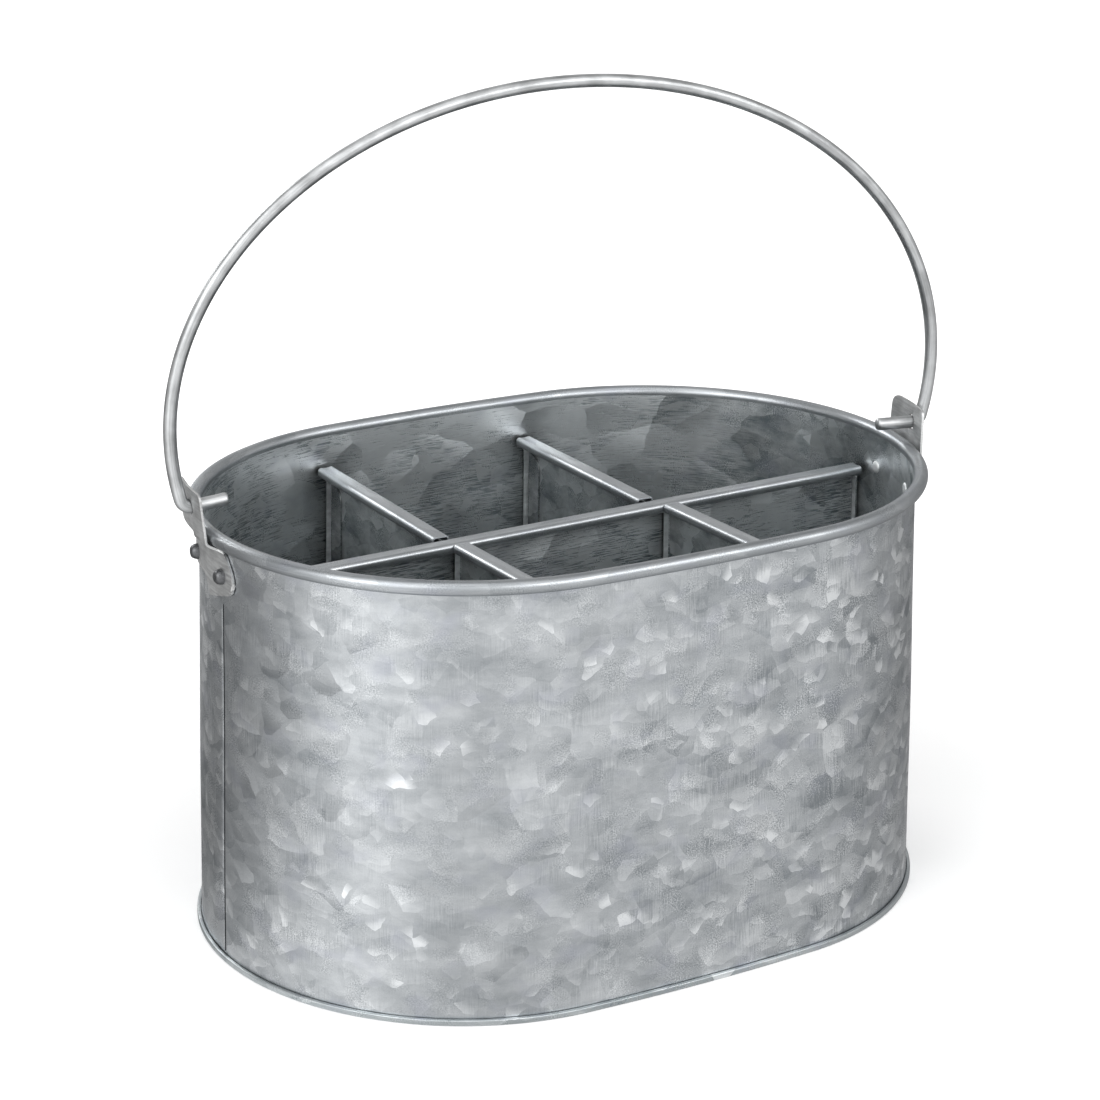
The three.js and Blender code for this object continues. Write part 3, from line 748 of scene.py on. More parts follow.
def rivet_zinc(context):
    """Rivets: tumbled zinc, dull and a little pitted."""
    shade = tuple(context.scene.caddy_finishes.rivet)
    return satin_zinc("tumbled_zinc_rivet", shade, (0.9, 0.9, 0.9), (0.36, 0.5), 0.3)


def wire_zinc(context):
    """Handle: drawn wire, zinc plated, with darker draw lines along it."""
    shade = tuple(context.scene.caddy_finishes.wire)
    return satin_zinc("zinc_plated_drawn_wire", shade, (0.55, 0.55, 16), (0.34, 0.5), 0.35, "wire_place")


def seam_grime(context):
    """Open seam: painted shade with some grime, a dull dark line that the light does not reach."""
    # Painted shade: the dark colour stands in for the shadow in the groove
    material, add = new_finish("seam_grime")
    shade = rgba(context.scene.caddy_finishes.seam)
    surface = add("ShaderNodeBsdfPrincipled", {
        "Base Color": shade, "Metallic": 0.6, "Roughness": 0.65})
    add("ShaderNodeOutputMaterial", {"Surface": surface})
    return material


def wall_section(oval, roll):
    """Closed section of the wall, up the outside, round the roll and down the inside.

    Gives offset and height of its points, the length run up to each, and their finishes."""
    sheet = oval.sheet
    centre = (roll - sheet, oval.rim_top - roll)
    neck = np.linspace(centre[1] - ROLL_NECK, centre[1], 6)[:-1]
    outside = [(0.0, z) for z in (FLOOR + FIT, *WALL_ROWS, *neck)]
    curl_in = arc(centre, roll - sheet, 180, ROLL_END, 20).tolist()
    curl_out = arc(centre, roll, ROLL_END, 180, 30).tolist()
    inside = [(-sheet, z) for _, z in reversed(outside)]
    ring = np.array(outside + curl_in + curl_out + inside)
    finish = [OUTSIDE] * len(outside) + [RIM] * (len(curl_in) + len(curl_out)) + [INSIDE] * len(inside)
    return ring, run_length(ring), finish


def wall_wobble(oval, along, z, dents):
    """Slight waves of rolled sheet, and the dents that the dividers' ends leave; none at the foot and rim."""
    turn = 2 * np.pi * along / oval.girth
    hold = np.sin(np.pi * np.clip(z / WAVE_TOP, 0, 1)) ** 0.7
    waves = sum(height * np.sin(number * turn + phase + z / climb) for height, number, phase, climb in WAVES)
    bumps = 0
    for place, height, depth in dents:
        away = (along - place + oval.girth / 2) % oval.girth - oval.girth / 2
        bumps = bumps + depth * np.exp(
            -(away / DENT_WIDTH) ** 2 - ((z - height - away / 2) / DENT_HEIGHT) ** 2)
    return hold * waves + bumps * np.clip((DENT_TOP - z) / DENT_FADE, 0, 1)


def build_wall(context):
    sizes = context.scene.caddy_body
    oval = Oval(sizes)
    girth = oval.girth
    ring, run, finish = wall_section(oval, mm(sizes.roll))
    seam = (0, SEAM_SIDE, SEAM_GAP, SEAM_GAP + SEAM_RUNOUT)
    lap = (girth - LAP_WIDTH - LAP_FADE, girth - LAP_WIDTH, girth - LAP_EDGE, girth - SEAM_SIDE)
    stations = np.unique(np.round(np.concatenate([
        np.arange(WALL_STEP, lap[0], WALL_STEP), np.arange(lap[1], lap[2], WALL_STEP), seam, lap]), 4))
    raised = np.interp(stations, [*seam, *lap], [
        0, -SEAM_DEPTH, -SEAM_DEPTH, 0, 0, LAP_RISE, LAP_RISE, LAP_EDGE_RISE])
    lapped = np.interp(ring[:, 1], [LAP_FOOT, LAP_FOOT + FIT, LAP_TOP, LAP_TOP + FIT], [0, 1, 1, 0])
    lapped *= np.array(finish) == OUTSIDE
    hem = mm(sizes.hem_top) - DENT_DROP
    dents = [(oval.along(x, side * oval.width), hem, DENT_DEPTH) for _, x, side, _, _ in CROSS_DIVIDERS]
    dents += [(oval.along(end * oval.half, y), hem, depth) for end, y, depth in END_DENTS]
    z = ring[:, 1:]
    offset = ring[:, :1] + lapped[:, None] * raised + wall_wobble(oval, stations, z, dents)
    in_seam = stations < SEAM_GAP

    def finish_at(row, column):
        return SEAM if in_seam[column] and lapped[row] == 1 else finish[row]

    shape = Sheetwork()
    shape.grid(oval.shell(stations, offset, z), np.append(stations, girth),
               np.append(run, run[-1] + oval.sheet)[:, None], close_rows=True, close_columns=True,
               finish=finish_at)
    mesh = shape.mesh("wall_with_rolled_rim", (
        outside_zinc(context), rim_zinc(context), inside_zinc(context), seam_grime(context)))
    return place_piece("wall_with_rolled_rim", mesh)


def build_base(context):
    sizes = context.scene.caddy_body
    oval = Oval(sizes)
    lip = mm(sizes.lip)
    edge = LIP_OUT - LIP_CORNER
    section = np.concatenate([
        arc((edge, LIP_CORNER), LIP_CORNER, -90, 0, 4),
        arc((edge, lip - LIP_CORNER), LIP_CORNER, 0, 90, 4),
        [(FIT + LIP_BREAK, lip), (FIT, lip - LIP_BREAK), (FIT, FLOOR + PAN_ROOT), (FIT - PAN_ROOT, FLOOR)],
    ])
    stations = np.linspace(0, oval.girth, PAN_COLUMNS, endpoint=False)
    shape = Sheetwork()
    first = shape.grid(oval.shell(stations, section[:, :1], section[:, 1:]), np.append(stations, oval.girth),
                       run_length(section)[:, None], close_columns=True)
    last = first + (len(section) - 1) * PAN_COLUMNS
    shape.cap(range(first, first + PAN_COLUMNS), finish=1)
    shape.cap(reversed(range(last, last + PAN_COLUMNS)), finish=1)
    mesh = shape.mesh("base_pan_with_lip", (lip_zinc(context), floor_zinc(context)))
    return place_piece("base_pan_with_lip", mesh)


def standing_strip(shape, path, foot, tops, thickness, place, flange=0):
    """A sheet that stands on a plan path, its thickness to the left; steps at both ends may be flanges."""
    path = np.asarray(path, float)
    step = np.gradient(path, axis=0)
    step /= np.linalg.norm(step, axis=1)[:, None]
    heights = foot + np.linspace(0, 1, STRIP_ROWS)[:, None] * (tops - foot)
    face = np.stack(np.broadcast_arrays(path[:, 0], path[:, 1], heights), axis=2)
    back = face.copy()
    back[..., :2] = path + thickness * np.stack([-step[:, 1], step[:, 0]], axis=1)
    rows = np.concatenate([face, back[::-1]])
    up = np.concatenate([heights, heights[::-1] + BACK_PLACE, heights[:1]])
    last = len(path) - 1 - flange
    first = shape.grid(place(rows), run_length(path), up, close_rows=True,
                       finish=lambda row, column: PLATE if flange <= column < last else BENT)
    shape.cap_ends(first, len(rows), len(path), PLATE)


def hem_section(width, height, top, sheet, plate_foot):
    """Section of a divider's top edge: the sheet curls over toward -x and in again under itself."""
    half = width / 2
    side = half - HEM_ROUND
    high, low = top - HEM_ROUND, top - height + HEM_ROUND
    inner = HEM_ROUND - sheet
    mouth = half - sheet - HEM_MOUTH
    crown = [(side * c, top - HEM_CROWN * (1 - c * c)) for c in (0.5, 0.0, -0.5)]
    return np.concatenate([
        [(half, plate_foot)],
        arc((side, high), HEM_ROUND, 0, 90, 7), crown, arc((-side, high), HEM_ROUND, 90, 180, 7),
        arc((-side, low), HEM_ROUND, 180, 270, 7),
        [(mouth, top - height), (mouth, top - height + sheet)],
        arc((-side, low), inner, 270, 180, 5), arc((-side, high), inner, 180, 90, 5),
        arc((side, high), inner, 90, 0, 5),
        [(half - sheet, plate_foot)],
    ])


def bent_end(corner, direction, width):
    """Plan path of a flange and its bend, from its free edge to the plate, which lies in a direction."""
    points = [(-width * share, -BEND) for share, _ in FLANGE_STEPS]
    points += [(x - BEND, y) for x, y in arc((0, 0), BEND, -90, 0, 6).tolist()]
    return [(corner[0] + x, corner[1] + direction * (y + BEND)) for x, y in points]


def divider_sheet(shape, sizes, start, end, hem_start, hem_end, place, wall_ends):
    """One hemmed sheet along y, ends bent to -x as flanges, with a folded angle at each end on the wall."""
    sheet, width, height = mm(sizes.sheet), mm(sizes.hem_width), mm(sizes.hem_height)
    top = mm(sizes.hem_top)
    half = width / 2
    foot = FLOOR + FIT
    seat = top - height + HEM_SEAT

    first = bent_end((half, start), 1, FLANGE - BEND)
    last = bent_end((half, end), -1, FLANGE - BEND)[::-1]
    under_hem = np.linspace(hem_start, hem_end, 9)
    middle = [(half, y) for y in (hem_start - HEM_NOTCH, *under_hem, hem_end + HEM_NOTCH)
              if start + BEND < y < end - BEND]
    path = first + middle + last
    corner = np.array([cut for _, cut in FLANGE_STEPS])
    tops = np.full(len(path), FLANGE_TOP)
    tops[:len(corner)] -= corner
    tops[-len(corner):] -= corner[::-1]
    for number, (_, y) in enumerate(middle, len(first)):
        if hem_start <= y <= hem_end:
            tops[number] = seat
    standing_strip(shape, path, foot, tops, sheet, place, flange=len(FLANGE_STEPS) + 1)

    ring = hem_section(width, height, top, sheet, seat)
    run = run_length(ring)
    stations = np.linspace(hem_start, hem_end, max(12, int((hem_end - hem_start) / HEM_STEP)))
    rows = np.stack(np.broadcast_arrays(ring[:, :1], stations, ring[:, 1:]), axis=2)
    begin = shape.grid(place(rows), stations, np.append(run, run[-1] + sheet)[:, None], close_rows=True,
                       finish=lambda row, column: HEM)
    shape.cap_ends(begin, len(ring), len(stations), HEM)

    leg = np.linspace(0, 1, 9)
    round_top = ANGLE_TOP - ANGLE_ROUND * (1 - np.sqrt(1 - leg ** 2))
    for edge, inward in wall_ends:
        path = [(half - sheet - ANGLE_PLAY, edge + inward * (BEND + share * ANGLE_LEG)) for share in leg]
        standing_strip(shape, path[::inward], foot, round_top[::inward], ANGLE_SHEET, place)


def divider_finishes(context):
    return inside_zinc(context), hem_zinc(context), flange_highlight_zinc(context)


def build_long_divider(context):
    sizes = context.scene.caddy_body
    oval = Oval(sizes)
    reach = oval.half - oval.sheet - LONG_END_GAP

    def place(points):
        x, y = points[..., 0], points[..., 1]
        c, s = math.cos(LONG_TURN), math.sin(LONG_TURN)
        return oval.splayed(np.stack([-x * s - y * c, x * c - y * s + LONG_Y, points[..., 2]], axis=-1))

    shape = Sheetwork()
    divider_sheet(shape, sizes, -reach, reach, -reach + HEM_SETBACK, reach - HEM_SETBACK, place, ())
    return place_piece("long_divider_sheet", shape.mesh("long_divider", divider_finishes(context)))


def build_cross_divider(context, name, x, side, rise_inside, rise_outside):
    sizes = context.scene.caddy_body
    oval = Oval(sizes)
    half = mm(sizes.hem_width) / 2
    wall = min(oval.inner(x - half), oval.inner(x + half)) - FIT
    long = LONG_Y + x * math.tan(LONG_TURN)
    behind = long + half + BUTT_GAP

    def place(points):
        rise = np.interp(side * points[..., 1], [side * long, wall], [rise_inside, rise_outside])
        moved = points + np.array([x, 0, 0])
        moved[..., 2] *= 1 + rise / mm(sizes.hem_top)
        return oval.splayed(moved)

    shape = Sheetwork()
    if side > 0:
        divider_sheet(shape, sizes, behind, wall, behind, wall - HEM_SETBACK, place, [(wall, -1)])
    else:
        divider_sheet(shape, sizes, -wall, long + half - oval.sheet - BUTT_GAP, -wall + HEM_SETBACK,
                      long - half - BUTT_GAP, place, [(-wall, 1)])
    return place_piece(name + "_sheet", shape.mesh(name, divider_finishes(context)))


def rounded(corners, steps=5):
    """Closed outline through corners given as two places and the length cut off for rounding."""
    spots = [np.array(corner[:2], float) for corner in corners]
    outline = []
    for number, (_, _, size) in enumerate(corners):
        before, here, after = spots[number - 1], spots[number], spots[(number + 1) % len(spots)]
        first = here + (before - here) * size / np.linalg.norm(before - here)
        last = here + (after - here) * size / np.linalg.norm(after - here)
        for t in np.linspace(0, 1, steps + 1):
            outline.append(tuple((1 - t) ** 2 * first + 2 * t * (1 - t) * here + t * t * last))
    return outline


def ear_blank(end):
    """Flat ear: broad foot, neck at its front, tongue behind and pin hole, cut so that it can be bent."""
    blank = bmesh.new()
    outline = [(-end * s, z) for s, z in rounded(EAR_CORNERS)]
    hole = [(PIN_HOLE / 2 * math.cos(a), PIVOT_Z + PIN_HOLE / 2 * math.sin(a))
            for a in np.linspace(0, 2 * math.pi, 28, endpoint=False)]
    edges = []
    for loop in (outline, hole):
        corners = [blank.verts.new((s, z, 0)) for s, z in loop]
        edges += [blank.edges.new((a, b)) for a, b in zip(corners, corners[1:] + corners[:1])]
    bmesh.ops.triangle_fill(blank, use_beauty=True, edges=edges)
    cuts = [((s, 0, 0), (1, 0, 0)) for s in EAR_UPRIGHT_CUTS]
    cuts += [((0, z, 0), (0, 1, 0)) for z in EAR_LEVEL_CUTS]
    for spot, across in cuts:
        bmesh.ops.bisect_plane(blank, geom=blank.verts[:] + blank.edges[:] + blank.faces[:], plane_co=spot,
                               plane_no=across, dist=1e-4)
    return blank


def build_ear(context, name, end, y):
    oval = Oval(context.scene.caddy_body)
    slope = math.asin(y / oval.end_radius)
    heading = slope if end > 0 else math.pi - slope
    blank = ear_blank(end)
    for vertex in blank.verts:
        s, z = vertex.co.x, vertex.co.y
        jog = eased((z - JOG_BOTTOM + JOG_EASE) / (JOG_TOP - JOG_BOTTOM + 2 * JOG_EASE))
        lean = EAR_LEAN * max(z - JOG_TOP, 0) / (LEAN_TOP - JOG_TOP)
        reach = oval.end_radius + FIT + jog * (EAR_CLEAR - FIT) + lean
        turn = heading + s / oval.end_radius
        spot = oval.splayed([end * oval.end_centre + reach * math.cos(turn), reach * math.sin(turn), z])
        vertex.co = Vector(spot) * MM
    bmesh.ops.recalc_face_normals(blank, faces=blank.faces)
    outward = Vector((math.cos(heading), math.sin(heading), 0))
    if sum(face.normal.dot(outward) * face.calc_area() for face in blank.faces) < 0:
        bmesh.ops.reverse_faces(blank, faces=blank.faces)
    mesh = bpy.data.meshes.new(f"ear_{name}_plate")
    blank.to_mesh(mesh)
    blank.free()
    mesh.materials.append(ear_zinc(context))
    plate = place_piece(f"ear_{name}_plate", mesh)
    thick = plate.modifiers.new("sheet", "SOLIDIFY")
    thick.thickness = EAR_SHEET * MM
    thick.offset = 1.0
    edge = plate.modifiers.new("broken edge", "BEVEL")
    edge.width = EAR_EDGE * MM
    edge.segments = 2
    edge.limit_method = "ANGLE"
    edge.angle_limit = math.radians(50)
    bake_modifiers(plate)
    plate.data.shade_smooth()
    plate.data.set_sharp_from_angle(angle=math.radians(40))
    return plate


def rivet_pattern(head, dome, sheet):
    """One rivet about +Z: domed head with a set mark on top, shank, and the tail spread inside the wall."""
    face = FIT + EAR_SHEET
    back = -sheet - TAIL_PLAY
    outer = head / 2
    profile = [(TAIL_FLAT[0], back - TAIL_FLAT[1])]
    profile += [(outer - inset, back - height) for inset, height in TAIL_STEPS]
    tail_rows = len(profile)
    profile += [(RIVET_SHANK, back), (RIVET_SHANK, face), (outer, face)]
    profile += [(outer * math.cos(a) ** RIVET_ROUND, face + dome * math.sin(a))
                for a in np.radians(np.linspace(0, 80, 9))[1:]]
    profile += [(SET_MARK[0], face + dome - SET_MARK[1])]
    stations = np.linspace(0, 2 * math.pi, 32, endpoint=False)
    count = len(stations)
    rows = np.array([[(r * math.cos(a), r * math.sin(a), z) for a in stations] for r, z in profile])
    shape = Sheetwork()
    first = shape.grid(rows, np.append(stations, 2 * math.pi), np.arange(len(profile))[:, None],
                       close_columns=True, finish=lambda row, column: int(row < tail_rows))
    last = first + (len(profile) - 1) * count
    shape.cap(reversed(range(first, first + count)), finish=1)
    shape.cap(range(last, last + count))
    mesh = shape.mesh("rivet_pattern", (), sharp=60)
    tail = mesh.attributes.new("tail", "BOOLEAN", "FACE")
    tail.data.foreach_set("value", [bool(finish) for finish in shape.finishes])
    return mesh


def rivet_tree(head_finish, tail_finish):
    """Sets one rivet on every point, turned to the point's facing."""
    tree = bpy.data.node_groups.new("set_rivets", "GeometryNodeTree")
    add = functools.partial(add_node, tree)
    tree.interface.new_socket("Geometry", in_out="INPUT", socket_type="NodeSocketGeometry")
    pattern = tree.interface.new_socket("Rivet", in_out="INPUT", socket_type="NodeSocketObject")
    size = tree.interface.new_socket("Size", in_out="INPUT", socket_type="NodeSocketFloat")
    tree.interface.new_socket("Geometry", in_out="OUTPUT", socket_type="NodeSocketGeometry")
    given = add("NodeGroupInput").outputs
    facing = add("GeometryNodeInputNamedAttribute", {"Name": "facing"}, data_type="FLOAT_VECTOR")
    turn = add("FunctionNodeAlignRotationToVector", {"Vector": facing}, axis="Z")
    rivet = add("GeometryNodeObjectInfo", {"Object": given["Rivet"], "As Instance": True})
    placed = add("GeometryNodeInstanceOnPoints", {
        "Points": given["Geometry"], "Instance": rivet.outputs["Geometry"], "Rotation": turn,
        "Scale": given["Size"]})
    real = add("GeometryNodeRealizeInstances", {"Geometry": placed})
    heads = add("GeometryNodeSetMaterial", {"Geometry": real, "Material": head_finish})
    tail = add("GeometryNodeInputNamedAttribute", {"Name": "tail"}, data_type="BOOLEAN")
    done = add("GeometryNodeSetMaterial", {"Geometry": heads, "Selection": tail, "Material": tail_finish})
    add("NodeGroupOutput", {0: done})
    return tree, pattern.identifier, size.identifier


def build_rivets(context):
    oval = Oval(context.scene.caddy_body)
    sizes = context.scene.caddy_bail
    spots, facings = [], []
    for _, end, y in EARS:
        for side in (-1, 1):
            slope = math.asin(y / oval.end_radius) + side * RIVET_SPREAD / oval.end_radius
            normal = np.array([end * math.cos(slope), math.sin(slope), 0])
            spots.append(oval.splayed(normal * oval.end_radius + [end * oval.end_centre, 0, RIVET_Z]) * MM)
            facings.append(normal)
    mesh = bpy.data.meshes.new("ear_rivets")
    mesh.from_pydata([tuple(spot) for spot in spots], [], [])
    facing = mesh.attributes.new("facing", "FLOAT_VECTOR", "POINT")
    facing.data.foreach_set("vector", np.array(facings, np.float32).ravel())
    rivets = place_piece("ear_rivets", mesh)
    pattern = place_piece("rivet_pattern", rivet_pattern(
        mm(sizes.rivet_head), mm(sizes.rivet_dome), oval.sheet))
    # The rivets' tails take the flanges' painted highlight
    tree, pattern_socket, size_socket = rivet_tree(rivet_zinc(context), flange_highlight_zinc(context))
    setter = rivets.modifiers.new("set rivets", "NODES")
    setter.node_group = tree
    setter[pattern_socket] = pattern
    setter[size_socket] = 1.0
    bake_modifiers(rivets)
    bpy.data.objects.remove(pattern)
    return rivets


def half_bail(sizes, tip, climb):
    """Centre line of half the handle from a pin's tip: x and z from the pivot, and share of the wire."""
    half, rise, wire = mm(sizes.arch_half), mm(sizes.arch_rise), mm(sizes.wire)
    reach = math.hypot(half * math.sin(ARCH_FOOT), rise * math.cos(ARCH_FOOT))
    heading = math.acos(half * math.sin(ARCH_FOOT) / reach)
    elbow_x = half * math.cos(ARCH_FOOT) - ELBOW_RADIUS * math.sin(heading)
    centre = ELBOW_RADIUS * (1 - math.cos(heading)) + rise * math.sin(ARCH_FOOT)
    cut = wire * CUT_ROUND
    path = []
    for t in (0.0, 0.3, 0.65, 1.0):
        path.append((tip + cut * t, climb, CUT_FACE + (1 - CUT_FACE) * math.sqrt(1 - (1 - t) ** 2)))
    for t in np.linspace(0, 1, 8)[1:]:
        path.append((tip + cut + (elbow_x - tip - cut) * t, climb * (1 - t) ** PIN_BOW, 1.0))
    for angle in np.linspace(0, heading, 14)[1:]:
        path.append((elbow_x + ELBOW_RADIUS * math.sin(angle), ELBOW_RADIUS * (1 - math.cos(angle)), 1.0))
    for angle in np.linspace(-ARCH_FOOT, math.pi / 2, 90)[1:]:
        path.append((half * math.cos(angle), centre + rise * math.sin(angle), 1.0))
    return path


def bail_path(sizes):
    """Centre line of the whole handle, from the right pin's tip to the left one's."""
    right = half_bail(sizes, *PIN_TIPS["right"])
    left = half_bail(sizes, *PIN_TIPS["left"])
    return right + [(-x, z, share) for x, z, share in reversed(left[:-1])]


def wire_tree(material):
    """Carries a round wire section along the path and keeps each point's place on the wire."""
    tree = bpy.data.node_groups.new("draw_wire", "GeometryNodeTree")
    add = functools.partial(add_node, tree)
    tree.interface.new_socket("Geometry", in_out="INPUT", socket_type="NodeSocketGeometry")
    size = tree.interface.new_socket("Wire radius", in_out="INPUT", socket_type="NodeSocketFloat")
    tree.interface.new_socket("Geometry", in_out="OUTPUT", socket_type="NodeSocketGeometry")
    given = add("NodeGroupInput").outputs
    section = add("GeometryNodeCurvePrimitiveCircle", {"Resolution": 28, "Radius": given["Wire radius"]})
    across = add("GeometryNodeInputPosition")
    kept_section = add("GeometryNodeStoreNamedAttribute", {
        "Geometry": section, "Name": "wire_across", "Value": across},
        data_type="FLOAT_VECTOR", domain="POINT")
    run = add("GeometryNodeSplineParameter").outputs["Length"]
    kept_path = add("GeometryNodeStoreNamedAttribute", {
        "Geometry": given["Geometry"], "Name": "wire_run", "Value": run}, data_type="FLOAT", domain="POINT")
    radius = add("GeometryNodeInputRadius")
    swept = add("GeometryNodeCurveToMesh", {
        "Curve": kept_path, "Profile Curve": kept_section, "Scale": radius, "Fill Caps": True})
    side = add("GeometryNodeInputNamedAttribute", {"Name": "wire_across"}, data_type="FLOAT_VECTOR")
    far = add("GeometryNodeInputNamedAttribute", {"Name": "wire_run"}, data_type="FLOAT")
    along = add("ShaderNodeCombineXYZ", {"Z": far})
    spot = add("ShaderNodeVectorMath", {0: side, 1: along}, operation="ADD")
    kept = add("GeometryNodeStoreNamedAttribute", {
        "Geometry": swept, "Name": "wire_place", "Value": spot}, data_type="FLOAT_VECTOR", domain="POINT")
    smooth = add("GeometryNodeSetShadeSmooth", {"Geometry": kept})
    real = add("GeometryNodeRealizeInstances", {"Geometry": smooth})
    done = add("GeometryNodeSetMaterial", {"Geometry": real, "Material": material})
    add("NodeGroupOutput", {0: done})
    return tree, size.identifier


def pivot_frame(oval):
    """Middle of the pivot axis and its turn in plan."""
    spots = []
    for _, end, y in EARS:
        slope = math.asin(y / oval.end_radius)
        reach = oval.end_radius + EAR_CLEAR + EAR_LEAN / 2
        spots.append(np.array([end * (oval.end_centre + reach * math.cos(slope)), reach * math.sin(slope)]))
    across = spots[1] - spots[0]
    return (spots[0] + spots[1]) / 2, math.atan2(across[1], across[0])


def build_bail(context):
    sizes = context.scene.caddy_bail
    middle, turn = pivot_frame(Oval(context.scene.caddy_body))
    path = bail_path(sizes)
    curve = bpy.data.curves.new("bail_wire", "CURVE")
    curve.dimensions = "3D"
    spline = curve.splines.new("POLY")
    spline.points.add(len(path) - 1)
    for point, (x, z, share) in zip(spline.points, path):
        spot = Vector((middle[0] + x * math.cos(turn), middle[1] + x * math.sin(turn), PIVOT_Z + z)) * MM
        point.co = (*spot, 1.0)
        point.radius = share
    wire = place_piece("bail_wire", curve)
    tree, size_socket = wire_tree(wire_zinc(context))
    sweep = wire.modifiers.new("draw wire", "NODES")
    sweep.node_group = tree
    sweep[size_socket] = sizes.wire / 2
    wire = bake_modifiers(wire)
    wire.data.set_sharp_from_angle(angle=math.radians(50))
    return wire


def brightness_ramp(add, place, stops):
    """Brightness read from stops of place and value."""
    ramp = add("ShaderNodeValToRGB", {"Fac": place})
    marks = ramp.color_ramp.elements
    for position, _ in stops[1:-1]:
        marks.new(position)
    for mark, (position, value) in zip(marks, stops):
        mark.position = position
        mark.color = rgba((value / ROOM_PEAK,) * 3)
    return add("ShaderNodeMath", {0: ramp, 1: ROOM_PEAK}, operation="MULTIPLY")


def studio_tone(add, direction):
    """Brightness of the room by heading: pale in front, brightest at the left lamp, dim beside and behind."""
    axes = add("ShaderNodeSeparateXYZ", {0: direction}).outputs
    ahead = add("ShaderNodeMath", {0: axes["Y"], 1: -1.0}, operation="MULTIPLY")
    heading = add("ShaderNodeMath", {0: axes["X"], 1: ahead}, operation="ARCTAN2")
    turn = add("ShaderNodeMapRange", {"Value": heading, "From Min": -math.pi, "From Max": math.pi})
    return brightness_ramp(add, turn, [(0.5 + degrees / 360, value) for degrees, value in ROOM])


def seen_straight(add, other, shown):
    """The second shader where the camera sees it, straight or through something clear, and else the first."""
    ray = add("ShaderNodeLightPath").outputs
    seen = add("ShaderNodeMath", {
        0: ray["Is Camera Ray"], 1: ray["Is Transmission Ray"]}, operation="MAXIMUM")
    return add("ShaderNodeMixShader", {0: seen, 1: other, 2: shown})


def build_world():
    """White backdrop for the camera; the metal sees the room, brighter in a band and overhead."""
    world = bpy.data.worlds.new("studio")
    bpy.context.scene.world = world
    world.use_nodes = True
    tree = world.node_tree
    tree.nodes.clear()
    add = functools.partial(add_node, tree)
    direction = add("ShaderNodeTexCoord").outputs["Generated"]
    height = add("ShaderNodeSeparateXYZ", {0: direction}).outputs["Z"]
    glow = add("ShaderNodeMath", {
        0: studio_tone(add, direction), 1: brightness_ramp(add, height, BAND)}, operation="MULTIPLY")
    room = add("ShaderNodeBackground", {"Color": (1.0, 1.0, 1.0, 1.0), "Strength": glow})
    white = add("ShaderNodeBackground", {"Color": (1.0, 1.0, 1.0, 1.0), "Strength": 1.0})
    add("ShaderNodeOutputWorld", {"Surface": seen_straight(add, room, white)})


def build_floor(context):
    """White table: it takes the object's shadow, and the metal sees it glow pale in front and dimmer behind,
    and darker close round the body as a painted shadow.
    """
    half, low = TABLE_HALF * MM, -TABLE_DROP * MM
    mesh = bpy.data.meshes.new("table")
    mesh.from_pydata([(-half, -half, low), (half, -half, low), (half, half, low), (-half, half, low)], [],
                     [(0, 1, 2, 3)])
    material, add = new_finish("white_paper_sweep")
    mesh.materials.append(material)
    sizes = context.scene.caddy_body
    paper = add("ShaderNodeBsdfDiffuse", {"Color": rgba(context.scene.caddy_finishes.floor)})
    spot = add("ShaderNodeNewGeometry").outputs["Position"]
    fitted = add("ShaderNodeVectorMath", {
        0: spot, 1: (1 / sizes.half_length, 1 / sizes.half_width, 0.0)}, operation="MULTIPLY")
    away = add("ShaderNodeVectorMath", {0: fitted}, operation="LENGTH")
    # Painted shadow: the glow that the metal sees is darker close round the body
    shaded = add("ShaderNodeMapRange", {
        "Value": away, "From Min": 1.0, "From Max": TABLE_REFLECTED_SHADOW[0], "To Min": TABLE_REFLECTED_SHADOW[1]})
    glow = add("ShaderNodeMath", {0: studio_tone(add, spot), 1: shaded}, operation="MULTIPLY")
    sheen = add("ShaderNodeEmission", {"Strength": glow})
    clear = add("ShaderNodeMapRange", {
        "Value": away, "From Min": 1.0, "From Max": TABLE_LIFT[0],
        "To Min": TABLE_LIFT[1], "To Max": TABLE_LIFT[2]})
    lift = add("ShaderNodeEmission", {"Color": (1.0, 1.0, 1.0, 1.0), "Strength": clear})
    lit = add("ShaderNodeAddShader", {0: paper, 1: lift})
    mirrored = add("ShaderNodeLightPath").outputs["Is Glossy Ray"]
    mixed = add("ShaderNodeMixShader", {0: mirrored, 1: seen_straight(add, paper, lit), 2: sheen})
    add("ShaderNodeOutputMaterial", {"Surface": mixed})
    place_piece("table", mesh)


def toward(heading, elevation):
    """Direction of a heading and an elevation in radians; heading 0 is in front, positive to the right."""
    return Vector((math.sin(heading) * math.cos(elevation), -math.cos(heading) * math.cos(elevation),
                   math.sin(elevation)))


def add_softbox(name, heading, elevation, distance, width, height, power):
    """Large soft lamp aimed at the caddy."""
    away = toward(math.radians(heading), math.radians(elevation))
    spot = Vector((0, 0, LAMP_AIM * MM)) + away * distance
    lamp = bpy.data.lights.new(name, "AREA")
    lamp.shape = "RECTANGLE"
    lamp.size = width
    lamp.size_y = height
    lamp.energy = power
    box = place_piece(name, lamp)
    box.matrix_world = Matrix.Translation(spot) @ away.to_track_quat("Z", "Y").to_matrix().to_4x4()


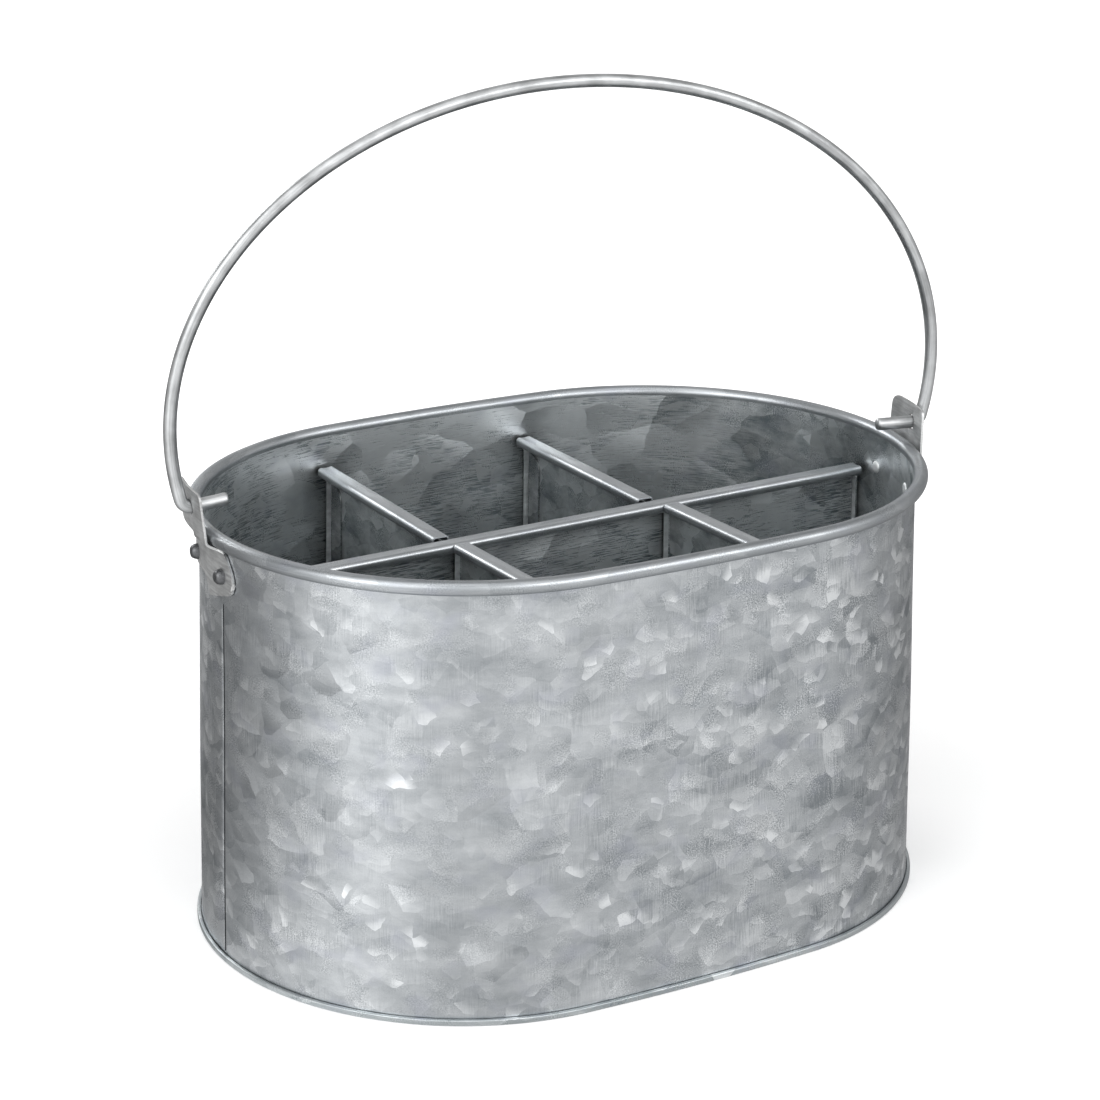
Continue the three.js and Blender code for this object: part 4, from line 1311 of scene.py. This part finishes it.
def build_camera():
    """Camera at the photograph's angle, turned a trace about its own axis."""
    heading, elevation, roll = (math.radians(angle) for angle in CAMERA_TURN)
    back = toward(heading, elevation)
    right = Vector((math.cos(heading), math.sin(heading), 0))
    up = back.cross(right)
    target = right * CAMERA_AIM[0] + up * CAMERA_AIM[1] + Vector((0, 0, CAMERA_AIM_HEIGHT))
    spot = (target + back * CAMERA_DISTANCE) * MM
    view_right = right * math.cos(roll) + up * math.sin(roll)
    view_up = up * math.cos(roll) - right * math.sin(roll)
    data = bpy.data.cameras.new("camera")
    data.sensor_fit = "HORIZONTAL"
    data.sensor_width = CAMERA_SENSOR
    data.lens = CAMERA_LENS
    camera = place_piece("camera", data)
    turn = Matrix((view_right, view_up, back)).transposed()
    camera.matrix_world = Matrix.Translation(spot) @ turn.to_4x4()
    bpy.context.scene.camera = camera


class CADDY_OT_wall(bpy.types.Operator):
    """Build the oval wall with its rolled rim and lapped seam"""
    bl_idname = "caddy.wall"
    bl_label = "Wall"

    def execute(self, context):
        settle(build_wall(context), BODY, "wall_sheet", "wall")
        return {"FINISHED"}


class CADDY_OT_base(bpy.types.Operator):
    """Build the base pan with its folded lip"""
    bl_idname = "caddy.base"
    bl_label = "Base pan"

    def execute(self, context):
        settle(build_base(context), BODY, "pan_sheet", "base_pan")
        return {"FINISHED"}


class CADDY_OT_dividers(bpy.types.Operator):
    """Build the long divider and the four cross dividers"""
    bl_idname = "caddy.dividers"
    bl_label = "Dividers"

    def execute(self, context):
        settle(build_long_divider(context), BODY, "divider_sheet", "long_divider")
        for divider in CROSS_DIVIDERS:
            settle(build_cross_divider(context, *divider), BODY, "divider_sheet", divider[0])
        return {"FINISHED"}


class CADDY_OT_ears(bpy.types.Operator):
    """Build the two riveted ears that carry the handle"""
    bl_idname = "caddy.ears"
    bl_label = "Ears"

    def execute(self, context):
        for name, end, y in EARS:
            settle(build_ear(context, name, end, y), BODY, "ear_sheet", f"ear_{name}")
        return {"FINISHED"}


class CADDY_OT_rivets(bpy.types.Operator):
    """Set the four rivets through the ears and the wall"""
    bl_idname = "caddy.rivets"
    bl_label = "Rivets"

    def execute(self, context):
        nodes = [f"rivet_{name}_{number}" for name, _, _ in EARS for number in (1, 2)]
        settle(build_rivets(context), BODY, "rivet", *nodes)
        return {"FINISHED"}


class CADDY_OT_bail(bpy.types.Operator):
    """Bend the wire handle"""
    bl_idname = "caddy.bail"
    bl_label = "Bail handle"

    def execute(self, context):
        settle(build_bail(context), BAIL, "wire", "bail_handle")
        return {"FINISHED"}


class CADDY_OT_stage(bpy.types.Operator):
    """Set the white table, the soft lamps and the camera"""
    bl_idname = "caddy.stage"
    bl_label = "Stage"

    def execute(self, context):
        build_world()
        build_floor(context)
        for softbox in SOFTBOXES:
            add_softbox(*softbox)
        build_camera()
        context.scene.view_settings.view_transform = "Standard"
        return {"FINISHED"}


class CADDY_PT_panel(bpy.types.Panel):
    """Sizes, finishes and build steps of the caddy"""
    bl_idname = "CADDY_PT_panel"
    bl_label = "Table caddy"
    bl_space_type = "VIEW_3D"
    bl_region_type = "UI"
    bl_category = "Caddy"

    def draw(self, context):
        for group in (context.scene.caddy_body, context.scene.caddy_bail, context.scene.caddy_finishes):
            column = self.layout.column(align=True)
            for name in group.__annotations__:
                column.prop(group, name)
        for step in STEPS:
            self.layout.operator(step.bl_idname)


STEPS = (CADDY_OT_wall, CADDY_OT_base, CADDY_OT_dividers, CADDY_OT_ears, CADDY_OT_rivets, CADDY_OT_bail,
         CADDY_OT_stage)
CLASSES = (CaddyBodySizes, CaddyBailSizes, CaddyFinishes, *STEPS, CADDY_PT_panel)


def register():
    for item in CLASSES:
        bpy.utils.register_class(item)
    bpy.types.Scene.caddy_body = bpy.props.PointerProperty(type=CaddyBodySizes)
    bpy.types.Scene.caddy_bail = bpy.props.PointerProperty(type=CaddyBailSizes)
    bpy.types.Scene.caddy_finishes = bpy.props.PointerProperty(type=CaddyFinishes)


def unregister():
    del bpy.types.Scene.caddy_finishes
    del bpy.types.Scene.caddy_bail
    del bpy.types.Scene.caddy_body
    for item in reversed(CLASSES):
        bpy.utils.unregister_class(item)


def main():
    register()
    bpy.ops.caddy.wall()
    bpy.ops.caddy.base()
    bpy.ops.caddy.dividers()
    bpy.ops.caddy.ears()
    bpy.ops.caddy.rivets()
    bpy.ops.caddy.bail()
    bpy.ops.caddy.stage()


if __name__ == "__main__":
    main()
